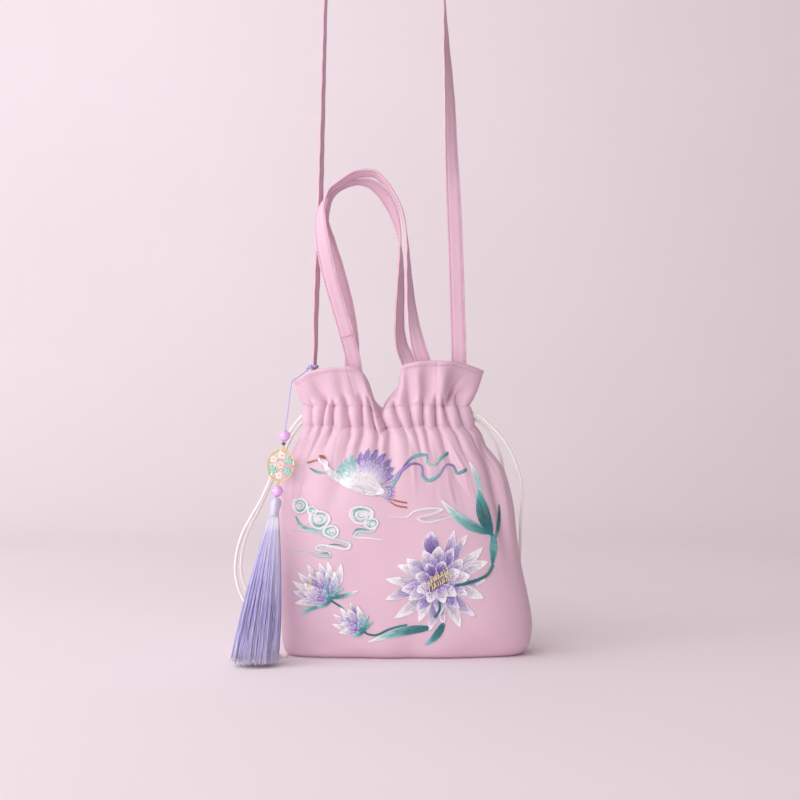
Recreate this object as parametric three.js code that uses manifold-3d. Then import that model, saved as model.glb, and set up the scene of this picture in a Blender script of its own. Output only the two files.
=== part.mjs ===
// Drawstring purse of satin with two hand loops, a shoulder strap, two drawstrings and a tassel pendant.
// Millimetres, +Z up, front towards -Y. It is drawn standing on z = 0 and then moved as a whole, so that the
// origin is the underside of the shoulder strap's highest point, where it hangs.
import * as THREE from "three";
import { mergeVertices } from "three/addons/utils/BufferGeometryUtils.js";
import Module from "manifold-3d";

// Driving dimensions
const CLOTH = 2; // wall of lined satin
const GAP = 0.3; // left between pieces that touch
const TUNNEL_LOW = 195; // stitch line under the drawstring tunnel
const NECK = 213; // stitch line over it, where the frill begins
const PUFF = 1.2; // how far a gather swells between two folds
const COLUMNS_PER_FOLD = 3;
const STRAP_WIDE = 13;
const STRAP_THICK = 2;
const HANG = { x: -14.5, y: 0, z: 790 }; // underside of the shoulder strap's top
const STRAP_BEND = 45; // radius of its bend there
const CORD = 2.6; // drawstring
const THREAD = 1.3; // pendant's thread
const BEAD = 9.8;
const TURN = 2 * Math.PI;

// How finely round things are drawn
const CORD_SIDES = 8;
const STRAND_STEPS = 24;
const HANDLE_STEPS = 30;
const SHOULDER_STEPS = 60;
const BEAD_POINTS = 8;
const BEAD_SIDES = 12;
const CAP_SIDES = 16;
const OVAL_POINTS = 32;
const EYE_SIDES = 6;

// Sections of the stuffed body up to the neck: reach to each side, front and back, and how square it is.
const BODY = [
  { up: 0, left: -93, right: 100, front: 25, back: 25, square: 3 },
  { up: 3, left: -98.5, right: 106, front: 31.5, back: 31, square: 3 },
  { up: 11, left: -101, right: 111, front: 36.5, back: 36, square: 3 },
  { up: 28, left: -102.3, right: 113.3, front: 39, back: 38, square: 2.9 },
  { up: 52, left: -105, right: 109, front: 39.5, back: 38.5, square: 2.8 },
  { up: 86, left: -106.5, right: 102.3, front: 38.5, back: 37.5, square: 2.7 },
  { up: 120, left: -106, right: 98.3, front: 36, back: 35, square: 2.6 },
  { up: 142, left: -104.5, right: 93.8, front: 33, back: 32, square: 2.5 },
  { up: 158, left: -100.3, right: 88.8, front: 30, back: 29, square: 2.5 },
  { up: 176, left: -91, right: 77.5, front: 25, back: 24.5, square: 2.5 },
  { up: 188, left: -85.5, right: 71.5, front: 20.5, back: 20.5, square: 2.4 },
  { up: 195, left: -83, right: 65, front: 18, back: 18, square: 2.4 },
  { up: 204, left: -82.5, right: 62, front: 18, back: 18, square: 2.4 },
  { up: 213, left: -82, right: 60, front: 16.5, back: 16.5, square: 2.4 },
];

// Folds that the drawstring pulls in: place across the tunnel from -1 at its left end to 1 at its right,
// depth, and how far each runs down the body and up the frill.
const FRONT_FOLDS = [
  { across: -0.9, deep: 2.5, down: 20, rise: 8 },
  { across: -0.76, deep: 4, down: 46, rise: 10 },
  { across: -0.65, deep: 4, down: 34, rise: 8 },
  { across: -0.47, deep: 4.5, down: 40, rise: 12 },
  { across: -0.305, deep: 4.5, down: 56, rise: 14 },
  { across: -0.174, deep: 4.5, down: 44, rise: 12 },
  { across: -0.056, deep: 8, down: 62, rise: 5 },
  { across: 0.114, deep: 3, down: 30, rise: 8 },
  { across: 0.27, deep: 3, down: 44, rise: 16 },
  { across: 0.413, deep: 4, down: 36, rise: 10 },
  { across: 0.564, deep: 4.5, down: 58, rise: 14 },
  { across: 0.689, deep: 4, down: 40, rise: 8 },
  { across: 0.856, deep: 3.5, down: 80, rise: 16 },
];
const BACK_FOLDS = 11; // even ones, of two kinds by turns
const BACK_FOLD_REACH = 0.88; // place of the outermost
const BACK_FOLD_KINDS = [
  { deep: 4.2, down: 52, rise: 12 },
  { deep: 3.4, down: 34, rise: 8 },
];
const SEAM_FOLD = { deep: 0.8, down: 24, rise: 4 };

// Top edge of the frill over the neck: height, shift to the right, lean out of the bag, dent at half height.
// The cloth between the two lobes falls back, so a notch is left open in the middle.
const FRONT_FRILL = [
  { across: -1, high: 20, shift: -9.5, lean: 0, dent: -1.5 },
  { across: -0.88, high: 24, shift: -10.5, lean: 2, dent: 0 },
  { across: -0.76, high: 28, shift: -11.5, lean: 4, dent: 2.5 },
  { across: -0.6, high: 31, shift: -10, lean: 5.5, dent: 0 },
  { across: -0.45, high: 32, shift: -8.5, lean: 6, dent: 0.5 },
  { across: -0.32, high: 32, shift: -8, lean: 6, dent: 1.8 },
  { across: -0.21, high: 30.5, shift: -7, lean: 2, dent: 0 },
  { across: -0.165, high: 25, shift: -4, lean: -5, dent: 0 },
  { across: -0.11, high: 13, shift: -2.5, lean: -14, dent: 0 },
  { across: -0.08, high: 5, shift: -2, lean: -18, dent: 0 },
  { across: -0.055, high: 1.6, shift: -1, lean: -20, dent: 0 },
  { across: -0.02, high: 5, shift: -0.4, lean: -19, dent: 0 },
  { across: 0.03, high: 10, shift: 1, lean: -17, dent: 0 },
  { across: 0.09, high: 16, shift: 2, lean: -13, dent: 0 },
  { across: 0.15, high: 28, shift: 0.4, lean: -5, dent: 0 },
  { across: 0.21, high: 33, shift: -2, lean: 2, dent: 1 },
  { across: 0.28, high: 34.5, shift: -2.5, lean: 4.5, dent: 2.5 },
  { across: 0.4, high: 36.5, shift: -2.5, lean: 7.5, dent: 0 },
  { across: 0.51, high: 37, shift: -2, lean: 7.5, dent: 2.5 },
  { across: 0.65, high: 37.2, shift: 0, lean: 8, dent: 0 },
  { across: 0.8, high: 36, shift: 4, lean: 6, dent: 3.5 },
  { across: 1, high: 29.5, shift: 12, lean: 0, dent: -1.5 },
];
const BACK_FRILL = [
  { across: -1, high: 20, shift: -9.5, lean: 0, dent: -1.5 },
  { across: -0.75, high: 27, shift: -10, lean: 5, dent: 2 },
  { across: -0.45, high: 30, shift: -7, lean: 7, dent: 0 },
  { across: -0.25, high: 26, shift: -6, lean: 10, dent: 1 },
  { across: -0.14, high: 12, shift: -4, lean: 15, dent: 0 },
  { across: -0.05, high: 4, shift: -1, lean: 17, dent: 0 },
  { across: 0.07, high: 8, shift: 2, lean: 16, dent: 0 },
  { across: 0.22, high: 27, shift: 1, lean: 11, dent: 0 },
  { across: 0.45, high: 33, shift: 0, lean: 8, dent: 1.5 },
  { across: 0.75, high: 34, shift: 5, lean: 5, dent: 1 },
  { across: 1, high: 29.5, shift: 12, lean: 0, dent: -1.5 },
];

// Soft dents of the body: place, half width and half height, how far the lower end moves right, and depth.
const DENTS = [
  { x: 77, up: 160, wide: 5, tall: 44, slant: 9.5, deep: 3.6 },
  { x: 44, up: 158, wide: 8, tall: 34, slant: 14, deep: 1.6 },
  { x: -50, up: 150, wide: 9, tall: 38, slant: -12, deep: 1.8 },
  { x: -84, up: 138, wide: 8, tall: 44, slant: -10, deep: 1.6 },
  { x: -12, up: 165, wide: 7, tall: 26, slant: 3, deep: 1.6 },
  { x: -62, up: 12, wide: 26, tall: 9, slant: 0, deep: 2.2 },
  { x: 68, up: 10, wide: 22, tall: 8, slant: 0, deep: 2 },
];

// Heights at which the body is drawn, and parts of the frill's height, outside and inside.
const BODY_ROWS = [0, 3, 11, 28, 52, 86, 116, 138, 153, 165, 176, 186, 195, 199, 204, 209, 213];
const FRILL_ROWS = [0.15, 0.36, 0.58, 0.8, 1];
const LINING_FRILL_ROWS = [0.8, 0.36];
const LINING_ROWS = [213, 204, 195, 176, 153, 116, 70, 28, 11, 4];

// Stations of the straps: centre line, and turn of the face from straight forward to out of the arch.
const HANDLE_FRONT = [
  { x: -38, y: -13, z: 236, turn: 0 },
  { x: -39.5, y: -14.2, z: 250, turn: 0 },
  { x: -46, y: -19, z: 276, turn: 0 },
  { x: -52.5, y: -19, z: 298, turn: 0 },
  { x: -58.5, y: -18, z: 319, turn: 4 },
  { x: -64, y: -16, z: 343, turn: 12 },
  { x: -67.5, y: -13, z: 367, turn: 35 },
  { x: -66.5, y: -11, z: 383, turn: 68 },
  { x: -60.5, y: -9.5, z: 395, turn: 98 },
  { x: -50.5, y: -9, z: 403, turn: 108 },
  { x: -37, y: -9, z: 410.5, turn: 110 },
  { x: -23, y: -9, z: 411, turn: 108 },
  { x: -13, y: -9, z: 403.5, turn: 100 },
  { x: -4, y: -9.5, z: 391, turn: 94 },
  { x: 2, y: -10, z: 377, turn: 92 },
  { x: 5.5, y: -11, z: 356, turn: 88 },
  { x: 7, y: -12.5, z: 332, turn: 76 },
  { x: 8.5, y: -14, z: 308, turn: 62 },
  { x: 11.2, y: -16, z: 284, turn: 42 },
  { x: 15, y: -18, z: 265, turn: 18 },
  { x: 19.3, y: -16, z: 251, turn: 3 },
  { x: 22, y: -14.2, z: 238, turn: 0 },
];
const HANDLE_BACK = [
  { x: -41, y: 16.9, z: 236, turn: 0 },
  { x: -41.8, y: 19, z: 250, turn: 0 },
  { x: -42.5, y: 19.5, z: 270, turn: 0 },
  { x: -47, y: 19, z: 300, turn: 8 },
  { x: -54.5, y: 17, z: 331, turn: 28 },
  { x: -60.5, y: 14, z: 358, turn: 62 },
  { x: -63, y: 11.5, z: 375, turn: 90 },
  { x: -61, y: 9.5, z: 391, turn: 100 },
  { x: -54.5, y: 9, z: 400, turn: 102 },
  { x: -45, y: 9, z: 405, turn: 104 },
  { x: -34, y: 9, z: 407, turn: 108 },
  { x: -24, y: 9, z: 404, turn: 118 },
  { x: -14, y: 9, z: 395, turn: 128 },
  { x: -6, y: 9, z: 381, turn: 122 },
  { x: -1, y: 9.5, z: 363, turn: 100 },
  { x: 0.5, y: 11, z: 338, turn: 76 },
  { x: 0, y: 13.5, z: 308, turn: 60 },
  { x: -0.5, y: 16.5, z: 280, turn: 50 },
  { x: 1.8, y: 18.5, z: 264, turn: 34 },
  { x: 7, y: 19.5, z: 252, turn: 12 },
  { x: 12, y: 17.8, z: 238, turn: 0 },
];
// The shoulder strap's two legs, from the foot up; its bend at the top is worked out.
const STRAP_LEFT = [
  { x: -79, y: 1, z: 228, turn: 96 },
  { x: -74.6, y: 0, z: 242, turn: 96 },
  { x: -73.2, y: 0, z: 256, turn: 98 },
  { x: -72.6, y: 0, z: 292, turn: 102 },
  { x: -71, y: 2.5, z: 335, turn: 104 },
  { x: -68.8, y: 3.5, z: 395, turn: 103 },
  { x: -66.8, y: 2, z: 470, turn: 100 },
  { x: -64.4, y: 0, z: 560, turn: 96 },
  { x: -61.8, y: 0, z: 655, turn: 92 },
];
const STRAP_RIGHT = [
  { x: 49.8, y: -4.6, z: 230, turn: 0 },
  { x: 50.4, y: -4.8, z: 250, turn: 0 },
  { x: 49.2, y: -3, z: 300, turn: 3 },
  { x: 47.6, y: -1.5, z: 350, turn: 5 },
  { x: 45.8, y: 0, z: 395, turn: 10 },
  { x: 43.8, y: 0, z: 433, turn: 30 },
  { x: 42.4, y: 0, z: 476, turn: 45 },
  { x: 39.8, y: 0, z: 520, turn: 66 },
  { x: 37.8, y: 0, z: 562, turn: 84 },
  { x: 34.2, y: 0, z: 655, turn: 90 },
];
const STRAP_BEND_STEPS = 12;

// Routes of the two strands of each drawstring, from the tunnel's end to their knot.
const LEFT_FRONT_STRAND = [
  [-83.4, -2.6, 204.6],
  [-88.5, -3.2, 199],
  [-92.5, -3.6, 193.5],
  [-97, -4.2, 185],
  [-102, -5, 173],
  [-107.5, -6, 159],
  [-113, -7, 145],
  [-119.5, -8, 131],
  [-127.5, -8.5, 117],
  [-134.5, -9, 103.5],
  [-139, -9.5, 88],
  [-140.5, -10, 71],
  [-137.5, -11, 57],
  [-131, -12.5, 43],
  [-122.5, -14.5, 30],
  [-115, -18, 17.5],
  [-108.8, -21, 7.2],
];
const LEFT_BACK_STRAND = [
  [-83.6, 1, 198.8],
  [-89, 1.5, 192.5],
  [-93.5, 1.5, 185],
  [-98.5, 1, 174.5],
  [-104, 0, 162],
  [-109.5, -1.5, 149],
  [-115, -3, 136],
  [-121, -4, 123],
  [-127.5, -4.5, 110.5],
  [-132.5, -5, 98],
  [-135.5, -5, 84],
  [-136, -5.5, 71],
  [-132.5, -6.5, 58],
  [-126, -8, 45],
  [-118, -10, 32],
  [-110.6, -13.8, 19.5],
  [-106, -19, 8.4],
];
const RIGHT_FRONT_STRAND = [
  [62.2, -2.4, 206.8],
  [70.5, -3, 202.5],
  [77, -3, 196.5],
  [84, -2.5, 189.5],
  [90.5, -2, 181],
  [96, -1, 171.5],
  [100.3, 0, 161],
  [103.5, 1, 150],
  [105.2, 3, 138],
  [104.8, 6, 124],
  [104.4, 10, 109],
  [104.6, 16, 94],
  [104.8, 24, 79],
  [103.5, 33, 63],
  [99.5, 41, 47],
  [95.8, 46, 31],
  [94.2, 49, 15.4],
];
const RIGHT_BACK_STRAND = [
  [63.6, 2, 202],
  [70.5, 3, 197],
  [76, 4, 191],
  [81, 6, 183],
  [85.5, 9.5, 173],
  [89, 14, 162],
  [91, 20, 149],
  [91.5, 27.5, 134],
  [91, 34.5, 118],
  [90.5, 40, 101],
  [90.5, 43.5, 83],
  [90.5, 45.6, 65],
  [90.5, 47, 48],
  [90, 47.8, 32],
  [89.4, 49, 15.4],
];
const KNOT_LEFT = { x: -105.8, y: -20.4, z: 4.6 };
const KNOT_RIGHT = { x: 91.8, y: 49.6, z: 12 };
const KNOT_SIZE = 6.4;
const KNOT_SHAPE = [1, 0.85, 1.1];

// The pendant hangs on one slanted line in front of the body's left flank.
const PENDANT_TOP = new THREE.Vector3(-92.6, -11, 232);
const PENDANT_FOOT = new THREE.Vector3(-119, -62, 1.4);
const THREAD_ROUTE = [
  [-76.8, -8.2, 246],
  [-81, -7.6, 242],
  [-86.4, -7, 237.8],
  [-90.8, -8, 234.8],
];
// The thread's loop round the foot of the strap: its middle, and its reach in widths of a close fit.
const THREAD_LOOP = { x: -74.2, z: 246.6, spread: { x: 1.9, y: 1.06 }, steps: 22 };
const THREAD_DROP_STEPS = 16;
const PENDANT_AT = { beadUpper: 46, spacer: 52.9, medallion: 71.6, beadLower: 93.6, cap: 99, skirt: 115 };
const MEDALLION = { wide: 23, tall: 28.6, thick: 2, rim: 1.5, eye: 1.1, wire: 0.8 };
const MEDALLION_REACH = MEDALLION.tall / 2 + 2 * MEDALLION.eye + MEDALLION.wire / 4;
const SPACER = 3.2;
const CAP_TALL = 16;
const CAP_WIDE = 10;
// Bound head of the tassel from its foot to its crown, in shares of its width and height.
const CAP = [
  { wide: 0, down: 1 },
  { wide: 0.84, down: 1 },
  { wide: 0.78, down: 0.78 },
  { wide: 0.82, down: 0.62 },
  { wide: 0.96, down: 0.46 },
  { wide: 1, down: 0.32 },
  { wide: 0.88, down: 0.16 },
  { wide: 0.54, down: 0.04 },
  { wide: 0, down: 0 },
];
const LOCKS = 14;
const SKIRT_FLAT = 0.82; // depth of the skirt over its width
const LOCK_TIP = { high: 0.9, uneven: 0.9, between: 3.4 }; // how far the tips and gaps stand off the ground
const SKIRT_HOLLOW = { up: 9, wide: 0.5 }; // hollow under the skirt
// Silk skirt down from the cap: width, and depth of the grooves between its locks.
const SKIRT = [
  { down: 0.4, wide: 8.2, groove: 0.04 },
  { down: 6, wide: 10.6, groove: 0.08 },
  { down: 20, wide: 15.5, groove: 0.12 },
  { down: 38, wide: 21.5, groove: 0.14 },
  { down: 60, wide: 28, groove: 0.16 },
  { down: 84, wide: 34, groove: 0.17 },
  { down: 106, wide: 37.6, groove: 0.2 },
  { down: 121.5, wide: 39, groove: 0.24 },
];
// Flowers of the medallion: place and radius. They touch each other and the rim.
const FLOWERS = [
  { x: 0, y: 0.4, size: 4.7 },
  { x: 0.4, y: 8.5, size: 4.3 },
  { x: 6.5, y: 4.6, size: 4.1 },
  { x: 6.3, y: -4.6, size: 4.3 },
  { x: -0.3, y: -8.6, size: 4.3 },
  { x: -6.5, y: -4.2, size: 4.2 },
  { x: -6.3, y: 4.8, size: 4.2 },
];
const PETALS = 5;
const PETAL_POINTS = 15;
const PETAL_NOTCH = 0.14;

const FINISH = {
  satin: { color: 0xe9bfd4, roughness: 0.62, metalness: 0 },
  cord: { color: 0xf3efe8, roughness: 0.7, metalness: 0 },
  thread: { color: 0xb9aee0, roughness: 0.55, metalness: 0 },
  bead: { color: 0xd9a6e6, roughness: 0.12, metalness: 0 },
  darkBead: { color: 0x3f2b58, roughness: 0.2, metalness: 0 },
  gilt: { color: 0xcdb579, roughness: 0.3, metalness: 1 },
  silk: { color: 0xa9a2d6, roughness: 0.4, metalness: 0 },
};

const wasm = await Module();
wasm.setup();

const vector = ([x, y, z]) => new THREE.Vector3(x, y, z);
const signedPower = (value, power) => Math.sign(value) * Math.abs(value) ** power;
const clamp = THREE.MathUtils.clamp;
const materials = new Map(
  Object.entries(FINISH).map(([name, look]) => [name, new THREE.MeshStandardMaterial(look)]),
);

// Value of one column of a table at a place between its rows, on a smooth curve through them.
function read(table, key, column, at) {
  const last = table.length - 1;
  const next = clamp(
    table.findIndex((row) => row[key] > at),
    -1,
    last,
  );
  const high = next < 0 ? last : Math.max(next, 1);
  const low = high - 1;
  const slope = (i) => {
    const a = table[Math.max(i - 1, 0)];
    const b = table[Math.min(i + 1, last)];
    return (b[column] - a[column]) / (b[key] - a[key]);
  };
  const span = table[high][key] - table[low][key];
  const t = clamp((at - table[low][key]) / span, 0, 1);
  const rise = table[high][column] - table[low][column];
  const bend = t * (1 - t) * ((slope(low) * span - rise) * (1 - t) - (slope(high) * span - rise) * t);
  return table[low][column] + rise * t + bend;
}

// Closed solid through rings of points, each ring with the same number of them, and a flat cap at each end.
function skin(rings) {
  const count = rings[0].length;
  const points = rings.flat();
  const faces = [];
  for (let r = 0; r + 1 < rings.length; r++) {
    for (let i = 0; i < count; i++) {
      const a = r * count + i;
      const b = r * count + ((i + 1) % count);
      faces.push([a, b, b + count], [a, b + count, a + count]);
    }
  }
  for (const [ring, first] of [
    [rings[0], 0],
    [rings.at(-1), points.length - count],
  ]) {
    const middle = ring.reduce((sum, p) => sum.add(p), new THREE.Vector3()).divideScalar(count);
    const hub = points.push(middle) - 1;
    for (let i = 0; i < count; i++) {
      const edge = [first + i, first + ((i + 1) % count)];
      faces.push(first ? [...edge, hub] : [edge[1], edge[0], hub]);
    }
  }
  const six = faces.reduce((sum, [a, b, c]) => sum + points[a].dot(points[b].clone().cross(points[c])), 0);
  const index = six > 0 ? faces.flat() : faces.flatMap(([a, b, c]) => [a, c, b]);
  const geometry = new THREE.BufferGeometry().setFromPoints(points);
  geometry.setIndex(index);
  geometry.computeVertexNormals();
  return geometry;
}

// A three.js geometry, placed, as a solid that can be joined or cut.
function solid(geometry, matrix = new THREE.Matrix4()) {
  const bare = geometry.clone().applyMatrix4(matrix);
  bare.deleteAttribute("normal");
  bare.deleteAttribute("uv");
  const merged = mergeVertices(bare, 1e-4);
  return new wasm.Manifold(
    new wasm.Mesh({
      numProp: 3,
      vertProperties: merged.attributes.position.array,
      triVerts: new Uint32Array(merged.index.array),
    }),
  );
}

function geometryOf(body) {
  const mesh = body.getMesh();
  const geometry = new THREE.BufferGeometry();
  geometry.setAttribute("position", new THREE.BufferAttribute(mesh.vertProperties, 3));
  geometry.setIndex(new THREE.BufferAttribute(mesh.triVerts, 1));
  geometry.computeVertexNormals();
  return geometry;
}

function tube(points, diameter, steps) {
  const path = new THREE.CatmullRomCurve3(points.map((p) => (p.isVector3 ? p : vector(p))));
  const section = new THREE.Shape(
    Array.from({ length: CORD_SIDES }, (_, i) => {
      const angle = (TURN * i) / CORD_SIDES;
      return new THREE.Vector2(Math.cos(angle), Math.sin(angle)).multiplyScalar(diameter / 2);
    }),
  );
  return new THREE.ExtrudeGeometry(section, { steps, bevelEnabled: false, extrudePath: path });
}

const purse = new THREE.Group();
function add(name, geometry, finish) {
  const mesh = new THREE.Mesh(geometry, materials.get(finish));
  mesh.name = name;
  purse.add(mesh);
  return mesh;
}

// The folds round the whole tunnel by angle: 0 at the left seam, a half turn at the right one.
const angleOf = (across, back) => {
  const angle = Math.acos(clamp(-signedPower(across, BODY.at(-1).square / 2), -1, 1));
  return back ? TURN - angle : angle;
};
function gatherFolds() {
  const folds = FRONT_FOLDS.map((fold) => ({ ...fold, angle: angleOf(fold.across, false) }));
  for (let i = 0; i < BACK_FOLDS; i++) {
    const across = BACK_FOLD_REACH * (1 - (2 * i) / (BACK_FOLDS - 1));
    folds.push({ ...BACK_FOLD_KINDS[i % 2], angle: angleOf(across, true) });
  }
  folds.push({ ...SEAM_FOLD, angle: 0 }, { ...SEAM_FOLD, angle: Math.PI });
  return folds.sort((a, b) => a.angle - b.angle);
}
const folds = gatherFolds();
const columnAngles = folds.flatMap((fold, i) => {
  const next = folds[i + 1]?.angle ?? TURN;
  return Array.from(
    { length: COLUMNS_PER_FOLD },
    (_, k) => fold.angle + ((next - fold.angle) * k) / COLUMNS_PER_FOLD,
  );
});

const wrap = (angle) => (angle + TURN) % TURN;

// Depth of the folds at an angle, with strength(fold) from 0 to 1 for each.
function foldDepth(angle, strength) {
  const i = folds.findLastIndex((fold) => fold.angle <= angle + 1e-9);
  const here = folds[i];
  const next = folds[(i + 1) % folds.length];
  const end = i + 1 < folds.length ? next.angle : TURN;
  const t = clamp((angle - here.angle) / (end - here.angle), 0, 1);
  const power = THREE.MathUtils.lerp(strength(here), strength(next), t);
  const deep = THREE.MathUtils.lerp(here.deep * strength(here), next.deep * strength(next), t);
  const swell = Math.sin(Math.PI * t) ** 0.7;
  return deep * (1 - swell) - PUFF * power * swell;
}

function sectionPoint(up, angle) {
  const section = Object.fromEntries(
    ["left", "right", "front", "back", "square"].map((name) => [name, read(BODY, "up", name, up)]),
  );
  const across = -signedPower(Math.cos(angle), 2 / section.square);
  const depth = signedPower(Math.sin(angle), 2 / section.square);
  const middle = (section.left + section.right) / 2;
  const half = (section.right - section.left) / 2;
  return new THREE.Vector3(middle + half * across, -depth * (depth > 0 ? section.front : section.back), up);
}

// Level direction out of the cloth at a height and an angle.
function outward(up, angle) {
  const step = 0.02;
  const along = sectionPoint(up, angle + step).sub(sectionPoint(up, angle - step));
  return new THREE.Vector3(along.y, -along.x, 0).normalize();
}

function dentDepth(point) {
  return DENTS.reduce((sum, dent) => {
    const above = (point.z - dent.up) / dent.tall;
    const beside = (point.x - dent.x + dent.slant * above) / dent.wide;
    return sum + dent.deep * Math.exp(-(beside ** 2) - above ** 2);
  }, 0);
}

function bodyPoint(up, anyAngle) {
  const angle = wrap(anyAngle);
  const below = Math.max(TUNNEL_LOW - up, 0);
  const strength = (fold) => THREE.MathUtils.smoothstep(1 - below / fold.down, 0, 1);
  const point = sectionPoint(up, angle);
  const inward = foldDepth(angle, strength) + dentDepth(point) * (angle < Math.PI ? 1 : 0.8);
  return point.addScaledVector(outward(up, angle), -inward);
}

function frillPoint(part, anyAngle) {
  const angle = wrap(anyAngle);
  const back = angle > Math.PI;
  const table = back ? BACK_FRILL : FRONT_FRILL;
  const across = -signedPower(Math.cos(angle), 2 / BODY.at(-1).square);
  const edge = (name) => read(table, "across", name, across);
  const height = edge("high") * part;
  const strength = (fold) => THREE.MathUtils.smoothstep(1 - height / fold.rise, 0, 1);
  const inward = foldDepth(angle, strength) + edge("dent") * Math.sin(Math.PI * part ** 0.8);
  const point = sectionPoint(NECK, angle).addScaledVector(outward(NECK, angle), -inward);
  point.x += edge("shift") * part ** 1.2;
  point.y += (back ? 1 : -1) * edge("lean") * part ** 1.3;
  point.z += height;
  return point;
}

// The rings of the inside, each point set back from the outer cloth along its normal.
function liningRing(surface, row, step) {
  return columnAngles.map((angle) => {
    const tick = 0.03;
    const along = surface(row, angle + tick).sub(surface(row, angle - tick));
    const rise = surface(row + step, angle).sub(surface(row - step, angle));
    const out = along.cross(rise).normalize();
    return surface(row, angle).addScaledVector(out, -CLOTH);
  });
}

function makePouch() {
  const body = BODY_ROWS.map((up) => columnAngles.map((angle) => bodyPoint(up, angle)));
  const frill = FRILL_ROWS.map((part) => columnAngles.map((angle) => frillPoint(part, angle)));
  const base = columnAngles.map((angle) => bodyPoint(0, angle).multiply(new THREE.Vector3(0.55, 0.5, 1)));
  const rim = liningRing((part, angle) => frillPoint(Math.min(part, 1.02), angle), 1, 0.02);
  const liningFrill = LINING_FRILL_ROWS.map((part) => liningRing(frillPoint, part, 0.05));
  const lining = LINING_ROWS.map((up) => liningRing(bodyPoint, up, 1));
  const floor = lining.at(-1).map((p) => new THREE.Vector3(p.x * 0.55, p.y * 0.5, CLOTH));
  return skin([base, ...body, ...frill, rim, ...liningFrill, ...lining, floor]);
}
add("pouch", makePouch(), "satin");

// Flat strap through stations, with its face turned from straight forward to out of the arch.
function strap(stations, steps) {
  const path = new THREE.CatmullRomCurve3(stations.map(({ x, y, z }) => new THREE.Vector3(x, y, z)));
  const rings = [];
  for (let i = 0; i <= steps; i++) {
    const share = i / steps;
    const at = path.getPoint(share);
    const along = path.getTangent(share);
    const place = share * (stations.length - 1);
    const low = Math.min(Math.floor(place), stations.length - 2);
    const turn = THREE.MathUtils.lerp(stations[low].turn, stations[low + 1].turn, place - low);
    const out = new THREE.Vector3(-along.z, 0, along.x).normalize();
    const radians = THREE.MathUtils.degToRad(turn);
    const face = new THREE.Vector3(0, -Math.cos(radians), 0).addScaledVector(out, Math.sin(radians));
    const wide = along.clone().cross(face).normalize();
    face.crossVectors(wide, along).normalize();
    rings.push(
      [
        [1, 1],
        [-1, 1],
        [-1, -1],
        [1, -1],
      ].map(([w, t]) =>
        at
          .clone()
          .addScaledVector(wide, (w * STRAP_WIDE) / 2)
          .addScaledVector(face, (t * STRAP_THICK) / 2),
      ),
    );
  }
  return skin(rings);
}
add("handle_front", strap(HANDLE_FRONT, HANDLE_STEPS), "satin");
add("handle_back", strap(HANDLE_BACK, HANDLE_STEPS), "satin");

function shoulderStations() {
  const centre = HANG.z + STRAP_THICK / 2 - STRAP_BEND;
  const bend = Array.from({ length: STRAP_BEND_STEPS + 1 }, (_, i) => {
    const angle = Math.PI * (1 - i / STRAP_BEND_STEPS);
    return {
      x: HANG.x + STRAP_BEND * Math.cos(angle),
      y: HANG.y,
      z: centre + STRAP_BEND * Math.sin(angle),
      turn: 90,
    };
  });
  return [...STRAP_LEFT, ...bend, ...STRAP_RIGHT.toReversed()];
}
add("shoulder_strap", strap(shoulderStations(), SHOULDER_STEPS), "satin");

// Drawstrings: two strands out of each end of the tunnel, tied together in an overhand knot.
const STRANDS = {
  drawstring_left_front: LEFT_FRONT_STRAND,
  drawstring_left_back: LEFT_BACK_STRAND,
  drawstring_right_front: RIGHT_FRONT_STRAND,
  drawstring_right_back: RIGHT_BACK_STRAND,
};
for (const [name, route] of Object.entries(STRANDS)) add(name, tube(route, CORD, STRAND_STEPS), "cord");
for (const [name, at] of [
  ["knot_left", KNOT_LEFT],
  ["knot_right", KNOT_RIGHT],
]) {
  const lump = new THREE.SphereGeometry(KNOT_SIZE / 2, 12, 8).scale(...KNOT_SHAPE);
  add(name, lump, "cord").position.set(at.x, at.y, at.z);
}

// Pendant
const pendantDown = PENDANT_FOOT.clone().sub(PENDANT_TOP).normalize();
const pendantPoint = (distance) => PENDANT_TOP.clone().addScaledVector(pendantDown, distance);
const alongPendant = new THREE.Quaternion().setFromUnitVectors(new THREE.Vector3(0, -1, 0), pendantDown);
function hang(name, geometry, finish, distance) {
  const mesh = add(name, geometry, finish);
  mesh.position.copy(pendantPoint(distance));
  mesh.quaternion.copy(alongPendant);
}

function drilledBead(diameter) {
  const bore = THREAD / 2 + GAP;
  const half = Math.acos(bore / (diameter / 2));
  const outer = Array.from({ length: BEAD_POINTS }, (_, i) => {
    const angle = half * ((2 * i) / (BEAD_POINTS - 1) - 1);
    return new THREE.Vector2(Math.cos(angle), Math.sin(angle)).multiplyScalar(diameter / 2);
  });
  return new THREE.LatheGeometry([...outer, outer[0]], BEAD_SIDES);
}
hang("bead_upper", drilledBead(BEAD), "bead", PENDANT_AT.beadUpper);
hang("bead_spacer", drilledBead(SPACER), "darkBead", PENDANT_AT.spacer);
hang("bead_lower", drilledBead(BEAD), "bead", PENDANT_AT.beadLower);

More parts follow.
